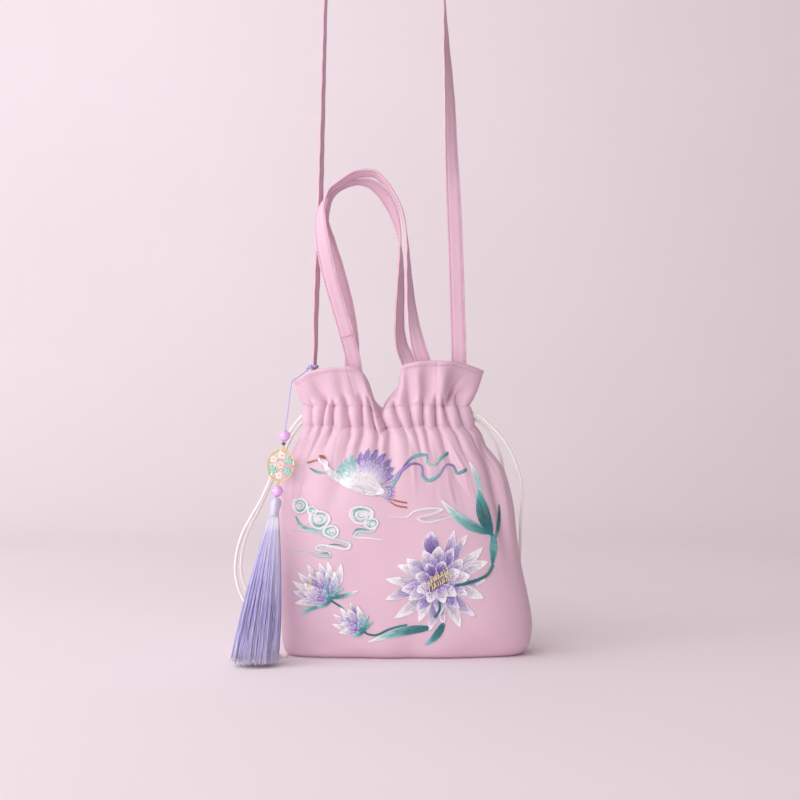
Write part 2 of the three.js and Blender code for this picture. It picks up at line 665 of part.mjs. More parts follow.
// Oval gilt rim with an eye at each end, filled with pierced flowers.
function makeMedallion() {
  const { wide, tall, thick, rim, eye, wire } = MEDALLION;
  const oval = (inset) =>
    Array.from({ length: OVAL_POINTS }, (_, i) => {
      const angle = (TURN * i) / OVAL_POINTS;
      return new THREE.Vector2((wide / 2 - inset) * Math.cos(angle), (tall / 2 - inset) * Math.sin(angle));
    });
  const ring = new THREE.Shape(oval(0));
  ring.holes.push(new THREE.Path(oval(rim)));
  const plate = (shape, depth) =>
    new THREE.ExtrudeGeometry(shape, { depth, bevelEnabled: false }).translate(0, 0, -depth / 2);
  let body = solid(plate(ring, thick));
  for (const { x, y, size } of FLOWERS) {
    const outline = Array.from({ length: PETAL_POINTS }, (_, i) => {
      const angle = (TURN * i) / PETAL_POINTS;
      const reach = size * (1 - PETAL_NOTCH * (1 - Math.cos(PETALS * angle)));
      return new THREE.Vector2(x + reach * Math.sin(angle), y + reach * Math.cos(angle));
    });
    body = body.add(solid(plate(new THREE.Shape(outline), thick * 0.7)));
  }
  for (const end of [-1, 1]) {
    const loop = new THREE.TorusGeometry(eye, wire / 2, EYE_SIDES, 2 * EYE_SIDES);
    body = body.add(solid(loop.translate(0, end * (tall / 2 + eye - wire / 3), 0)));
  }
  return geometryOf(body);
}
hang("medallion", makeMedallion(), "gilt", PENDANT_AT.medallion);

const capProfile = CAP.map(({ wide, down }) => new THREE.Vector2((wide * CAP_WIDE) / 2, -down * CAP_TALL));
hang("tassel_cap", new THREE.LatheGeometry(capProfile, CAP_SIDES), "silk", PENDANT_AT.cap);

// Skirt of locks round the pendant's line. Its rings start square to the line and end level with the ground.
function makeSkirt() {
  const level = new THREE.Quaternion().setFromUnitVectors(new THREE.Vector3(0, 0, -1), pendantDown);
  const flat = new THREE.Quaternion();
  const columns = 2 * LOCKS;
  const ring = (down, wide, groove, lift) => {
    const share = Math.sqrt(down / SKIRT.at(-1).down);
    return Array.from({ length: columns }, (_, i) => {
      const angle = (TURN * i) / columns;
      const between = i % 2;
      const uneven = Math.sin(i * 1.7);
      const reach = (wide / 2) * (between ? 1 - groove : 1 + 0.03 * uneven);
      const point = new THREE.Vector3(reach * Math.cos(angle), reach * SKIRT_FLAT * Math.sin(angle), 0);
      point.applyQuaternion(level.clone().slerp(flat, share));
      point.z += lift * (between ? LOCK_TIP.between : LOCK_TIP.high + LOCK_TIP.uneven * uneven);
      return point.add(pendantPoint(PENDANT_AT.skirt + down));
    });
  };
  const foot = SKIRT.at(-1);
  const rings = SKIRT.map(({ down, wide, groove }) => ring(down, wide, groove, down === foot.down ? 1 : 0));
  return skin([...rings, ring(foot.down - SKIRT_HOLLOW.up, foot.wide * SKIRT_HOLLOW.wide, 0, 0)]);
}
add("tassel_skirt", makeSkirt(), "silk");

// Thread: a loop tied round the foot of the strap, over the frill's corner and down through the upper beads.
function makeUpperThread() {
  const { x, z, spread, steps } = THREAD_LOOP;
  const reachX = (STRAP_THICK / 2 + THREAD / 2 + GAP) * spread.x;
  const reachY = (STRAP_WIDE / 2 + THREAD / 2 + GAP) * spread.y;
  const round = Array.from({ length: 12 }, (_, i) => {
    const angle = (TURN * i) / 12;
    const across = signedPower(Math.cos(angle), 0.5);
    return new THREE.Vector3(x + reachX * across, reachY * signedPower(Math.sin(angle), 0.5), z);
  });
  const ring = new THREE.CatmullRomCurve3(round, true);
  const loop = new THREE.TubeGeometry(ring, steps, THREAD / 2, CORD_SIDES, true);
  const end = pendantPoint(PENDANT_AT.medallion - MEDALLION_REACH - GAP);
  const middle = pendantPoint(PENDANT_AT.beadUpper / 2);
  const drop = tube([...THREAD_ROUTE.map(vector), PENDANT_TOP, middle, end], THREAD, THREAD_DROP_STEPS);
  const knot = new THREE.SphereGeometry(THREAD * 1.3, 10, 6).translate(...THREAD_ROUTE[0]);
  return geometryOf(solid(loop).add(solid(drop)).add(solid(knot)));
}
add("pendant_thread", makeUpperThread(), "thread");
add(
  "tassel_thread",
  tube(
    [
      pendantPoint(PENDANT_AT.medallion + MEDALLION_REACH + GAP),
      pendantPoint(PENDANT_AT.beadLower),
      pendantPoint(PENDANT_AT.cap - GAP),
    ],
    THREAD,
    4,
  ),
  "thread",
);

purse.position.set(-HANG.x, -HANG.y, -HANG.z);
const part = new THREE.Group();
part.add(purse);

export default part;
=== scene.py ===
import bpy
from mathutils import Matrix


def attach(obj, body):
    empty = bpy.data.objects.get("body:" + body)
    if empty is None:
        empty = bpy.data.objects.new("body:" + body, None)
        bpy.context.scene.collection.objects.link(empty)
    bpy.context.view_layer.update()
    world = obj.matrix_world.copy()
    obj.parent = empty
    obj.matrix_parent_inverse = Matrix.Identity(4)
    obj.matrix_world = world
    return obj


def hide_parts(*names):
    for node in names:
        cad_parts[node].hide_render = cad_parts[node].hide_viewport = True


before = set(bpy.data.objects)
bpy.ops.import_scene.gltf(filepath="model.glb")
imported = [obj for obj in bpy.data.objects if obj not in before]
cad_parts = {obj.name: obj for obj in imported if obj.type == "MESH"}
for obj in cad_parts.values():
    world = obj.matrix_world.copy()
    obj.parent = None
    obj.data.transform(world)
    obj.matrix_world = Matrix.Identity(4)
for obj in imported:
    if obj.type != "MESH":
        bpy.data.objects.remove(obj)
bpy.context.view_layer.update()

import math

import bpy
import numpy as np
from mathutils import Vector
from mathutils.bvhtree import BVHTree

# The pouch: one sewn shell of lined pink satin, stuffed so that it stands full. A tunnel stitched round its
# top holds the drawstrings, which gather the cloth, and above it the cloth opens as a frill in two lobes.
# Tables and sizes are in millimetres from the ground under the pouch, and mm turns them into metres.
mm = 0.001
strap_top = np.array([-14.5, 0.0, 790.0])  # where the whole hangs, which is the frame's origin


def placed(points):
    """Points in millimetres from the ground, as metres in the frame."""
    return (np.asarray(points, float) - strap_top) * mm


def table(columns, *rows):
    """A short table with named columns."""
    return {name: np.array([row[i] for row in rows], float) for i, name in enumerate(columns.split())}


def read(rows, key, column, at):
    """A column's value at a place between the rows, on a smooth curve through them."""
    x, y = rows[key], rows[column]
    high = np.clip(np.searchsorted(x, at, "right"), 1, len(x) - 1)
    low = high - 1
    before, after = np.maximum(np.arange(len(x)) - 1, 0), np.minimum(np.arange(len(x)) + 1, len(x) - 1)
    slope = (y[after] - y[before]) / (x[after] - x[before])
    span, rise = x[high] - x[low], y[high] - y[low]
    t = np.clip((at - x[low]) / span, 0, 1)
    bend = t * (1 - t) * ((slope[low] * span - rise) * (1 - t) - (slope[high] * span - rise) * t)
    return y[low] + rise * t + bend


cloth = 2.0
tunnel_low, neck = 195.0, 213.0
puff = 1.7
body = table(
    "up left right front back square",
    (0, -93, 100, 25, 25, 3),
    (3, -98.5, 106, 31.5, 31, 3),
    (11, -101, 111, 36.5, 36, 3),
    (28, -102.3, 113.3, 39, 38, 2.9),
    (52, -105, 109, 39.5, 38.5, 2.8),
    (86, -106.5, 102.3, 38.5, 37.5, 2.7),
    (120, -106, 98.3, 36, 35, 2.6),
    (142, -104.5, 93.8, 33, 32, 2.5),
    (158, -100.3, 88.8, 30, 29, 2.5),
    (176, -91, 77.5, 25, 24.5, 2.5),
    (188, -85.5, 71.5, 20.5, 20.5, 2.4),
    (195, -83, 65, 18, 18, 2.4),
    (204, -82.5, 62, 18, 18, 2.4),
    (213, -82, 60, 16.5, 16.5, 2.4),
)
front_folds = table(
    "across deep down rise",
    (-0.9, 2.5, 20, 8),
    (-0.76, 4, 46, 10),
    (-0.65, 4, 34, 8),
    (-0.47, 4.5, 40, 12),
    (-0.305, 4.5, 56, 14),
    (-0.174, 4.5, 44, 12),
    (-0.056, 8, 62, 5),
    (0.114, 3, 30, 8),
    (0.27, 3, 44, 16),
    (0.413, 4, 36, 10),
    (0.564, 4.5, 58, 14),
    (0.689, 4, 40, 8),
    (0.856, 3.5, 80, 16),
)
back_fold_count = 11
back_fold_kinds = ((4.2, 52, 12), (3.4, 34, 8))
seam_fold = (0.8, 24, 4)
front_frill = table(
    "across high shift lean dent",
    (-1, 20, -9.5, 0, -1.5),
    (-0.88, 24, -10.5, 2, 0),
    (-0.76, 28, -11.5, 4, 2.5),
    (-0.6, 31, -10, 5.5, 0),
    (-0.45, 32, -8.5, 6, 0.5),
    (-0.32, 32, -8, 6, 1.8),
    (-0.21, 30.5, -7, 2, 0),
    (-0.165, 25, -4, -5, 0),
    (-0.11, 13, -2.5, -14, 0),
    (-0.08, 5, -2, -18, 0),
    (-0.055, 1.6, -1, -20, 0),
    (-0.02, 5, -0.4, -19, 0),
    (0.03, 10, 1, -17, 0),
    (0.09, 16, 2, -13, 0),
    (0.15, 28, 0.4, -5, 0),
    (0.21, 33, -2, 2, 1),
    (0.28, 34.5, -2.5, 4.5, 2.5),
    (0.4, 36.5, -2.5, 7.5, 0),
    (0.51, 37, -2, 7.5, 2.5),
    (0.65, 37.2, 0, 8, 0),
    (0.8, 36, 4, 6, 3.5),
    (1, 29.5, 12, 0, -1.5),
)
back_frill = table(
    "across high shift lean dent",
    (-1, 20, -9.5, 0, -1.5),
    (-0.75, 27, -10, 5, 2),
    (-0.45, 30, -7, 7, 0),
    (-0.25, 26, -6, 10, 1),
    (-0.14, 12, -4, 15, 0),
    (-0.05, 4, -1, 17, 0),
    (0.07, 8, 2, 16, 0),
    (0.22, 27, 1, 11, 0),
    (0.45, 33, 0, 8, 1.5),
    (0.75, 34, 5, 5, 1),
    (1, 29.5, 12, 0, -1.5),
)
dents = (
    dict(x=77, up=160, wide=5, tall=44, slant=9.5, deep=3.6),
    dict(x=44, up=158, wide=8, tall=34, slant=14, deep=1.6),
    dict(x=-50, up=150, wide=9, tall=38, slant=-12, deep=1.8),
    dict(x=-84, up=138, wide=8, tall=44, slant=-10, deep=1.6),
    dict(x=-12, up=165, wide=7, tall=26, slant=3, deep=1.6),
    dict(x=-62, up=12, wide=26, tall=9, slant=0, deep=2.2),
    dict(x=68, up=10, wide=22, tall=8, slant=0, deep=2),
    dict(x=86, up=122, wide=5, tall=34, slant=5, deep=2.6),
    dict(x=-30, up=178, wide=5, tall=20, slant=-4, deep=1.2),
    dict(x=16, up=176, wide=6, tall=24, slant=3, deep=1.3),
)


def power(value, exponent):
    return np.sign(value) * np.abs(value) ** exponent


def angle_of(across, back=False):
    angle = np.arccos(np.clip(-power(across, body["square"][-1] / 2), -1, 1))
    return 2 * math.pi - angle if back else angle


def gather_folds():
    """Every fold round the tunnel by angle: 0 at the left seam, a half turn at the right one."""
    found = [
        (float(angle_of(a)), d, w, r)
        for a, d, w, r in zip(*(front_folds[name] for name in ("across", "deep", "down", "rise")))
    ]
    for i in range(back_fold_count):
        across = 0.88 - 1.76 * i / (back_fold_count - 1)
        found.append((float(angle_of(across, True)), *back_fold_kinds[i % 2]))
    found += [(0.0, *seam_fold), (math.pi, *seam_fold)]
    found.sort()
    return np.array(found)


folds = gather_folds()
fold_ends = np.append(folds[1:, 0], 2 * math.pi)


def smooth(t):
    t = np.clip(t, 0, 1)
    return t * t * (3 - 2 * t)


def fold_at(angle):
    """The folds on both sides of each angle, by number, and how far along from one to the next."""
    angle = np.mod(angle, 2 * math.pi)
    here = np.clip(np.searchsorted(folds[:, 0], angle + 1e-9, "right") - 1, 0, len(folds) - 1)
    return here, (here + 1) % len(folds), np.clip((angle - folds[here, 0]) / (fold_ends[here] - folds[here, 0]), 0, 1)


def fold_depth(angle, strength, soft):
    """Depth of the folds at each angle. strength gives each fold's share, and soft rounds the puffs."""
    here, after, t = fold_at(angle)
    a, b = strength(here), strength(after)
    deep = folds[here, 1] * a * (1 - t) + folds[after, 1] * b * t
    swell = np.sin(math.pi * t) ** soft
    return deep * (1 - swell) - puff * (a * (1 - t) + b * t) * swell


def scallop(angle, up):
    """The rows of stitches round the tunnel bow away from it on each puff, which so looks like a pillow."""
    swell = np.sin(math.pi * fold_at(angle)[2]) - 0.6
    return swell * (1.5 * np.exp(-(((up - neck) / 7) ** 2)) - 2.2 * np.exp(-(((up - tunnel_low) / 8) ** 2)))


def sag(angle, up):
    """The tunnel and the frill sink where the cloth is drawn together under the notch of the mouth."""
    across = -np.cos(angle)
    front = np.exp(-(((across + 0.07) / 0.055) ** 2)) * 9
    back = np.exp(-(((across + 0.05) / 0.12) ** 2)) * 8
    uneven = 0.7 * np.sin(5 * angle + 1) + 0.8 * np.sin(11 * angle + 2.4) + 0.5 * np.sin(19 * angle)
    uneven = uneven * np.exp(-(((up - 202) / 14) ** 2))
    return np.where(np.sin(angle) > 0, front, back) * smooth((up - 178) / 35) + uneven


def section(up, angle):
    left, right, front, back, square = (
        read(body, "up", name, up) for name in ("left", "right", "front", "back", "square")
    )
    depth = power(np.sin(angle), 2 / square)
    x = (left + right) / 2 - power(np.cos(angle), 2 / square) * (right - left) / 2
    return np.stack([x, -depth * np.where(depth > 0, front, back), up + 0 * x], -1)


def outward(up, angle):
    step = 0.02
    along = section(up, angle + step) - section(up, angle - step)
    out = np.stack([along[..., 1], -along[..., 0], 0 * along[..., 0]], -1)
    return out / np.linalg.norm(out, axis=-1, keepdims=True)


# Small creases in the gathers, each a narrow groove that starts near the tunnel and fans out with the cloth.
crease_dice = np.random.RandomState(11)
crease_count = 120
creases = dict(
    angle=crease_dice.uniform(0, 2 * math.pi, crease_count),
    up=crease_dice.uniform(128, 200, crease_count),
    tall=crease_dice.uniform(7, 24, crease_count),
    wide=crease_dice.uniform(0.012, 0.032, crease_count),
    deep=crease_dice.uniform(-0.75, 0.75, crease_count),
    slant=crease_dice.uniform(-0.05, 0.05, crease_count),
)


def crease_depth(up, angle):
    total = 0.0 * angle
    for a, z, tall, wide, deep, slant in zip(*(creases[name] for name in creases)):
        above = (up - z) / tall
        beside = np.mod(angle - a - slant * above + math.pi, 2 * math.pi) - math.pi
        total = total + deep * np.exp(-((beside / wide) ** 2) - above**2)
    return total


# Slow swells of the stuffed cloth, in three sizes, and the shallow waves of its bottom edge.
def swell_depth(point):
    x, y, z = point[..., 0], point[..., 1], point[..., 2]
    side = np.where(y < 0, 0.0, 1.9)
    wave = 0.7 * np.sin(x / 17 + side + 0.9 * np.sin(z / 29)) * np.sin(z / 23 + 1.3 + side)
    wave = wave + 0.4 * np.sin(x / 8.5 - z / 19 + side * 2) * np.sin(z / 12.5 + x / 31)
    low = np.exp(-((z / 22) ** 2))
    return wave * smooth(z / 14) * 0.8 + 0.9 * low * np.sin(x / 9.3 + 1.1 * np.sin(x / 21) + side)


def leaning(angle, up):
    """Angle at which a gather that passes here crosses the tunnel: each leans its own way."""
    lean = 0.03 * np.sin(5 * angle + 0.6) + 0.022 * np.sin(11 * angle + 2.1) + 0.014 * np.sin(23 * angle)
    away = (up - (tunnel_low + neck) / 2) / 16
    return angle + lean * away / (1 + 0.2 * away**2)


def pinched(up):
    """How far the two rows of stitches round the tunnel draw the cloth in."""
    return sum(np.exp(-(((up - row) / wide) ** 2)) * deep for row in (tunnel_low, neck)
               for wide, deep in ((0.8, 0.7), (2.6, 1.0)))


def body_points(up, angle):
    below = np.maximum(tunnel_low - up, 0)
    strength = lambda fold: 0.55 * smooth(1 - below / 12) + 0.45 * smooth(1 - below / folds[fold, 2])
    point = section(up, angle)
    x, z = point[..., 0], point[..., 2]
    soft = 0.36 + 0.96 * smooth((below - 1) / 18)
    inward = (1.25 + 0.15 * smooth(1 - below / 8)) * fold_depth(leaning(angle, up), strength, soft)
    for d in dents:
        above = (z - d["up"]) / d["tall"]
        beside = (x - d["x"] + d["slant"] * above) / d["wide"]
        inward = inward + np.where(np.sin(angle) > 0, 1, 0.8) * d["deep"] * np.exp(-(beside**2) - above**2)
    inward = inward + (crease_depth(up, angle) + swell_depth(point)) * smooth((206 - up) / 14)
    seam = np.exp(-((np.sin(angle) / 0.012) ** 2)) + np.exp(-(((up - 5) / 1.2) ** 2)) * 0.5
    point[..., 2] += scallop(leaning(angle, up), up) - sag(angle, up)
    return point - outward(up, angle) * (inward + pinched(up) + 0.5 * seam)[..., None]


frill_seams = (-0.367, 0.606)
frill_tucks = (
    dict(x=44, up=9, tall=9, wide=2.0, slant=3.4, deep=5.5),
    dict(x=37.5, up=20, tall=15, wide=6, slant=2, deep=-3.2),
    dict(x=52, up=9, tall=7, wide=5, slant=3, deep=2.6),
    dict(x=-63, up=5, tall=9, wide=3.0, slant=-2, deep=2.4),
    dict(x=22, up=12, tall=16, wide=4, slant=-1.5, deep=1.8),
    dict(x=-46, up=16, tall=14, wide=4, slant=2, deep=1.6),
)
point_x = lambda across: (body["left"][-1] + body["right"][-1]) / 2 + across * (body["right"][-1] - body["left"][-1]) / 2


def frill_points(part, angle):
    back = np.sin(angle) < 0
    across = -power(np.cos(angle), 2 / body["square"][-1])
    edge = {
        name: np.where(
            back, read(back_frill, "across", name, across), read(front_frill, "across", name, across)
        )
        for name in ("high", "shift", "lean", "dent")
    }
    height = edge["high"] * part
    strength = lambda fold: smooth(1 - height / folds[fold, 3])
    soft = 0.36 + 0.66 * smooth(height / 10)
    inward = (1.25 + 0.15 * smooth(1 - height / 6)) * fold_depth(leaning(angle, neck + height), strength, soft)
    inward = inward + 1.6 * edge["dent"] * np.sin(math.pi * np.abs(part) ** 0.8) + pinched(neck + height)
    inward = inward - 0.3 * smooth((part - 0.88) / 0.02)
    for place in frill_seams:
        inward = inward + 0.5 * np.exp(-(((across - place) / 0.009) ** 2)) * np.where(back, 0, smooth(part * 1.6))
    inward = inward + 0.35 * np.exp(-(((part - 0.9) / 0.02) ** 2))
    at_neck = neck + 0 * part
    for t in frill_tucks:
        above = (height - t["up"]) / t["tall"]
        beside = (point_x(across) - t["x"] - t["slant"] * above) / t["wide"]
        inward = inward + np.where(back, 0, t["deep"]) * np.exp(-(beside**2) - above**2)
    point = section(at_neck, angle) - outward(at_neck, angle) * inward[..., None]
    part = np.abs(part)
    point[..., 0] += edge["shift"] * part**1.2
    point[..., 1] += np.where(back, 1, -1) * edge["lean"] * part**1.3
    point[..., 2] += height + scallop(leaning(angle, neck + height), neck + height) - sag(angle, neck + height)
    return point


def inside_of(surface, rows, angle, step):
    """The lining: each point set back from the outer cloth along its normal."""
    tick = 0.03
    along = surface(rows, angle + tick) - surface(rows, angle - tick)
    rise = surface(rows + step, angle) - surface(rows - step, angle)
    out = np.cross(along, rise)
    out /= np.linalg.norm(out, axis=-1, keepdims=True)
    return surface(rows, angle) - cloth * out


def grid_mesh(name, points, closed_rows=False, caps=True):
    """A mesh through rings of points, each ring closed round, with a fan over the first and the last."""
    rings, count = points.shape[:2]
    index = np.arange(rings * count).reshape(rings, count)
    lower, upper = index[:-1], index[1:]
    quads = np.stack([lower, np.roll(lower, -1, 1), np.roll(upper, -1, 1), upper], -1).reshape(-1, 4)
    faces = quads.tolist()
    flat = points.reshape(-1, 3)
    if closed_rows:
        faces += np.stack(
            [index[-1], np.roll(index[-1], -1), np.roll(index[0], -1), index[0]], -1
        ).tolist()
    elif caps:
        for ring, order in ((index[0], -1), (index[-1], 1)):
            flat = np.vstack([flat, flat[ring].mean(0)])
            ends = np.stack([ring, np.roll(ring, -1)][::order], -1)
            faces += [[a, b, len(flat) - 1] for a, b in ends.tolist()]
    mesh = bpy.data.meshes.new(name)
    mesh.from_pydata(flat.tolist(), [], faces)
    mesh.polygons.foreach_set("use_smooth", [True] * len(mesh.polygons))
    mesh.update()
    piece = bpy.data.objects.new(name, mesh)
    bpy.context.scene.collection.objects.link(piece)
    return piece


def volume_sign(piece):
    """Turns the faces of a closed piece outwards."""
    mesh = piece.data
    mesh.calc_loop_triangles()
    corners = np.empty(len(mesh.loop_triangles) * 3, np.int64)
    mesh.loop_triangles.foreach_get("vertices", corners)
    flat = np.empty(len(mesh.vertices) * 3)
    mesh.vertices.foreach_get("co", flat)
    a, b, c = flat.reshape(-1, 3)[corners].reshape(-1, 3, 3).transpose(1, 0, 2)
    if (a * np.cross(b, c)).sum() < 0:
        mesh.flip_normals()
    return piece


steps_per_fold = 18
gaps = np.append(folds[:, 0], 2 * math.pi)
angles = np.concatenate(
    [np.linspace(low, high, steps_per_fold, endpoint=False) for low, high in zip(gaps[:-1], gaps[1:])]
)


def rows_of(values):
    return np.meshgrid(np.asarray(values, float), angles, indexing="ij")


def pouch_points():
    ups = np.concatenate([[0, 0.5, 1.2, 2, 3, 5, 8, 11], np.linspace(13, 178, 84), np.linspace(179.5, 213, 30)])
    outer = body_points(*rows_of(ups))
    base = [outer[0] * [f, f * 0.96, 1] + [0, 0, 1.2 * (1 - f)] for f in (0.35, 0.7, 0.93)]
    frill = frill_points(*rows_of(np.linspace(0.03, 1, 36)))
    rim = inside_of(frill_points, *rows_of([0.999]), 0.001)
    turned = (frill[-1:] + rim) / 2 + [0, 0, 0.5]
    lining_frill = inside_of(frill_points, *rows_of(np.linspace(0.97, 0.05, 20)), 0.02)
    lining = inside_of(body_points, *rows_of(np.append(np.linspace(213, 176, 11), np.linspace(166, 5, 11))), 0.8)
    floor = [lining[-1] * [f, f, 0] + [0, 0, cloth + 0.6] for f in (0.8, 0.3)]
    return np.concatenate([base, outer, frill, turned, rim, lining_frill, lining, floor])


pouch = volume_sign(grid_mesh("satin_pouch", placed(pouch_points())))


class Wire:
    """An output of a shader node. Arithmetic on wires adds Math nodes, and node adds any other."""

    def __init__(self, tree, socket=None):
        self.tree = tree
        self.socket = socket

    def node(self, kind, settings=None, inputs=None, output=0):
        made = self.tree.nodes.new("ShaderNode" + kind)
        settings = dict(settings or {})
        stops = settings.pop("stops", ())
        for name, value in settings.items():
            setattr(made, name, value)
        for i, (place, colour) in enumerate(stops):
            ramp = made.color_ramp.elements
            stop = ramp[i] if i < len(ramp) else ramp.new(place)
            stop.position = place
            stop.color = colour
        for name, value in (inputs or {}).items():
            if isinstance(value, Wire):
                self.tree.links.new(value.socket, made.inputs[name])
            else:
                made.inputs[name].default_value = value
        return Wire(self.tree, made.outputs[output])

    def math(self, operation, first, second=0.0):
        return self.node("Math", {"operation": operation}, {0: first, 1: second})

    def __add__(self, other):
        return self.math("ADD", self, other)

    def __mul__(self, other):
        return self.math("MULTIPLY", self, other)

    def __sub__(self, other):
        return self.math("SUBTRACT", self, other)

    def __rsub__(self, other):
        return self.math("SUBTRACT", other, self)

    __radd__ = __add__
    __rmul__ = __mul__

    def mix(self, low, high):
        """Colour between two, by this wire from 0 to 1."""
        return self.node("Mix", {"data_type": "RGBA"}, {0: self, 6: low, 7: high}, output=2)


def srgb(red, green, blue):
    """A colour as a paint chart gives it, in the linear light that shaders use."""
    linear = [((v / 255 + 0.055) / 1.055) ** 2.4 if v > 10 else v / 3295 for v in (red, green, blue)]
    return (*linear, 1.0)


def finish(name, paint, **constants):
    """A material. paint takes a wire and returns links for sockets, and constants set the rest."""
    material = bpy.data.materials.new(name)
    material.use_nodes = True
    tree = material.node_tree
    shader = tree.nodes["Principled BSDF"]
    for key, value in constants.items():
        shader.inputs[key.replace("_", " ")].default_value = value
    for key, wire in paint(Wire(tree)).items():
        tree.links.new(wire.socket, shader.inputs[key])
    return material


def satin(name, light, dark, weave_turn=(0, 0, 0)):
    """Woven satin: fine slanting ribs, soft blotches of tone and a faint nap."""

    def paint(wire):
        place = wire.node("TexCoord", output="Object")
        turned = wire.node("Mapping", None, {"Vector": place, "Rotation": weave_turn})
        ribs = wire.node(
            "TexWave",
            {"wave_type": "BANDS", "bands_direction": "DIAGONAL"},
            {"Vector": turned, "Scale": 620.0, "Distortion": 1.2, "Detail": 2.0, "Detail Scale": 3.0},
            output="Fac",
        )
        nap = wire.node("TexNoise", None, {"Vector": place, "Scale": 900.0, "Detail": 3.0}, output="Fac")
        blotch = wire.node("TexNoise", None, {"Vector": place, "Scale": 26.0, "Detail": 2.0}, output="Fac")
        tone = blotch * 0.5 + nap * 0.3 + ribs * 0.2
        relief = wire.node(
            "Bump", None, {"Height": ribs * 0.5 + nap * 0.5, "Strength": 0.22, "Distance": 0.0004}
        )
        return {
            "Base Color": tone.mix(dark, light),
            "Roughness": 0.5 + nap * 0.16,
            "Normal": relief,
        }

    return finish(
        name,
        paint,
        Sheen_Weight=0.35,
        Sheen_Roughness=0.4,
        Sheen_Tint=srgb(255, 226, 240),
        Specular_IOR_Level=0.35,
        Subsurface_Weight=0.06,
        Subsurface_Radius=(0.004, 0.0022, 0.002),
    )


pink_light, pink_dark = srgb(230, 198, 213), srgb(220, 183, 200)
pouch.data.materials.append(satin("pink_satin", pink_light, pink_dark))
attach(pouch, "root")
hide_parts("pouch")

# The two hand loops and the shoulder strap: flat bands of the same satin, turned in and stitched along both
# edges. The loops are sewn behind the frill, stand up side by side and lean to the left. The strap is sewn in
# at both ends of the mouth.
strap_wide, strap_thick = 13.0, 2.0
handle_front = table(
    "x y z turn",
    (-38, -13, 236, 0),
    (-39.5, -14.2, 250, 0),
    (-46, -19, 276, 0),
    (-52.5, -19, 298, 0),
    (-58.5, -18, 319, 4),
    (-64, -16, 343, 12),
    (-67.5, -13, 367, 35),
    (-66.5, -11, 383, 68),
    (-60.5, -9.5, 395, 98),
    (-50.5, -9, 403, 108),
    (-37, -9, 410.5, 110),
    (-23, -9, 411, 108),
    (-13, -9, 403.5, 100),
    (-4, -9.5, 391, 94),
    (2, -10, 377, 92),
    (5.5, -11, 356, 88),
    (7, -12.5, 332, 76),
    (8.5, -14, 308, 62),
    (11.2, -16, 284, 42),
    (15, -18, 265, 18),
    (19.3, -16, 251, 3),
    (22, -14.2, 238, 0),
)
handle_back = table(
    "x y z turn",
    (-41, 16.9, 236, 0),
    (-41.8, 19, 250, 0),
    (-42.5, 19.5, 270, 0),
    (-47, 19, 300, 8),
    (-54.5, 17, 331, 28),
    (-60.5, 14, 358, 62),
    (-63, 11.5, 375, 90),
    (-61, 9.5, 391, 100),
    (-54.5, 9, 400, 102),
    (-45, 9, 405, 104),
    (-34, 9, 407, 108),
    (-24, 9, 404, 118),
    (-14, 9, 395, 128),
    (-6, 9, 381, 122),
    (-1, 9.5, 363, 100),
    (0.5, 11, 338, 76),
    (0, 13.5, 308, 60),
    (-0.5, 16.5, 280, 50),
    (1.8, 18.5, 264, 34),
    (7, 19.5, 252, 12),
    (12, 17.8, 238, 0),
)
strap_left = (
    (-79, 1, 228, 96),
    (-74.6, 0, 242, 96),
    (-73.2, 0, 256, 98),
    (-72.6, 0, 292, 102),
    (-71, 2.5, 335, 104),
    (-68.8, 3.5, 395, 103),
    (-66.8, 2, 470, 100),
    (-64.4, 0, 560, 96),
    (-61.8, 0, 655, 92),
)
strap_right = (
    (49.8, -4.6, 230, 0),
    (50.4, -4.8, 250, 0),
    (49.2, -3, 300, 3),
    (47.6, -1.5, 350, 5),
    (45.8, 0, 395, 10),
    (43.8, 0, 433, 30),
    (42.4, 0, 476, 45),
    (39.8, 0, 520, 66),
    (37.8, 0, 562, 84),
    (34.2, 0, 655, 90),
)
bend_radius, bend_steps = 45.0, 12
bend_angles = [math.pi * (1 - i / bend_steps) for i in range(bend_steps + 1)]
bend_middle = strap_top[2] + strap_thick / 2 - bend_radius
bend = [
    (strap_top[0] + bend_radius * math.cos(a), 0.0, bend_middle + bend_radius * math.sin(a), 90)
    for a in bend_angles
]
shoulder = table("x y z turn", *strap_left, *bend, *strap_right[::-1])


def rounded(points, steps):
    """Evenly spaced points on a smooth curve through a few."""
    points = np.asarray(points, float)
    knots = np.append(0, np.cumsum(np.linalg.norm(np.diff(points[:, :3], axis=0), axis=1)))
    rows = {"at": knots, **{str(i): points[:, i] for i in range(points.shape[1])}}
    at = np.linspace(0, knots[-1], steps)
    return np.stack([read(rows, "at", str(i), at) for i in range(points.shape[1])], -1)


def strap_frames(stations, steps):
    """Centre line of a strap with the directions along it, across its width and out of its face."""
    line = rounded(np.stack([stations[name] for name in ("x", "y", "z", "turn")], -1), steps)
    centre, turn = line[:, :3], np.radians(line[:, 3])[:, None]
    along = np.gradient(centre, axis=0)
    along /= np.linalg.norm(along, axis=1, keepdims=True)
    out = np.stack([-along[:, 2], 0 * along[:, 0], along[:, 0]], -1)
    out /= np.linalg.norm(out, axis=1, keepdims=True)
    face = np.array([0, -1.0, 0]) * np.cos(turn) + out * np.sin(turn)
    wide = np.cross(along, face)
    wide /= np.linalg.norm(wide, axis=1, keepdims=True)
    return centre, along, wide, np.cross(wide, along)


# Half of a strap's section, from its middle to its edge: place across, and half thickness.
strap_profile = (
    (0, 0.86), (0.35, 0.93), (0.6, 1.02), (0.7, 0.72), (0.77, 0.6), (0.84, 0.8), (0.92, 1.0), (0.98, 0.7), (1.0, 0.25),
)
stitch_place = 0.77
handle_join = 0.092  # where a cross seam lies on the front loop, as a share of its length
stitch_long, stitch_step, stitch_thick = 2.3, 3.3, 0.6


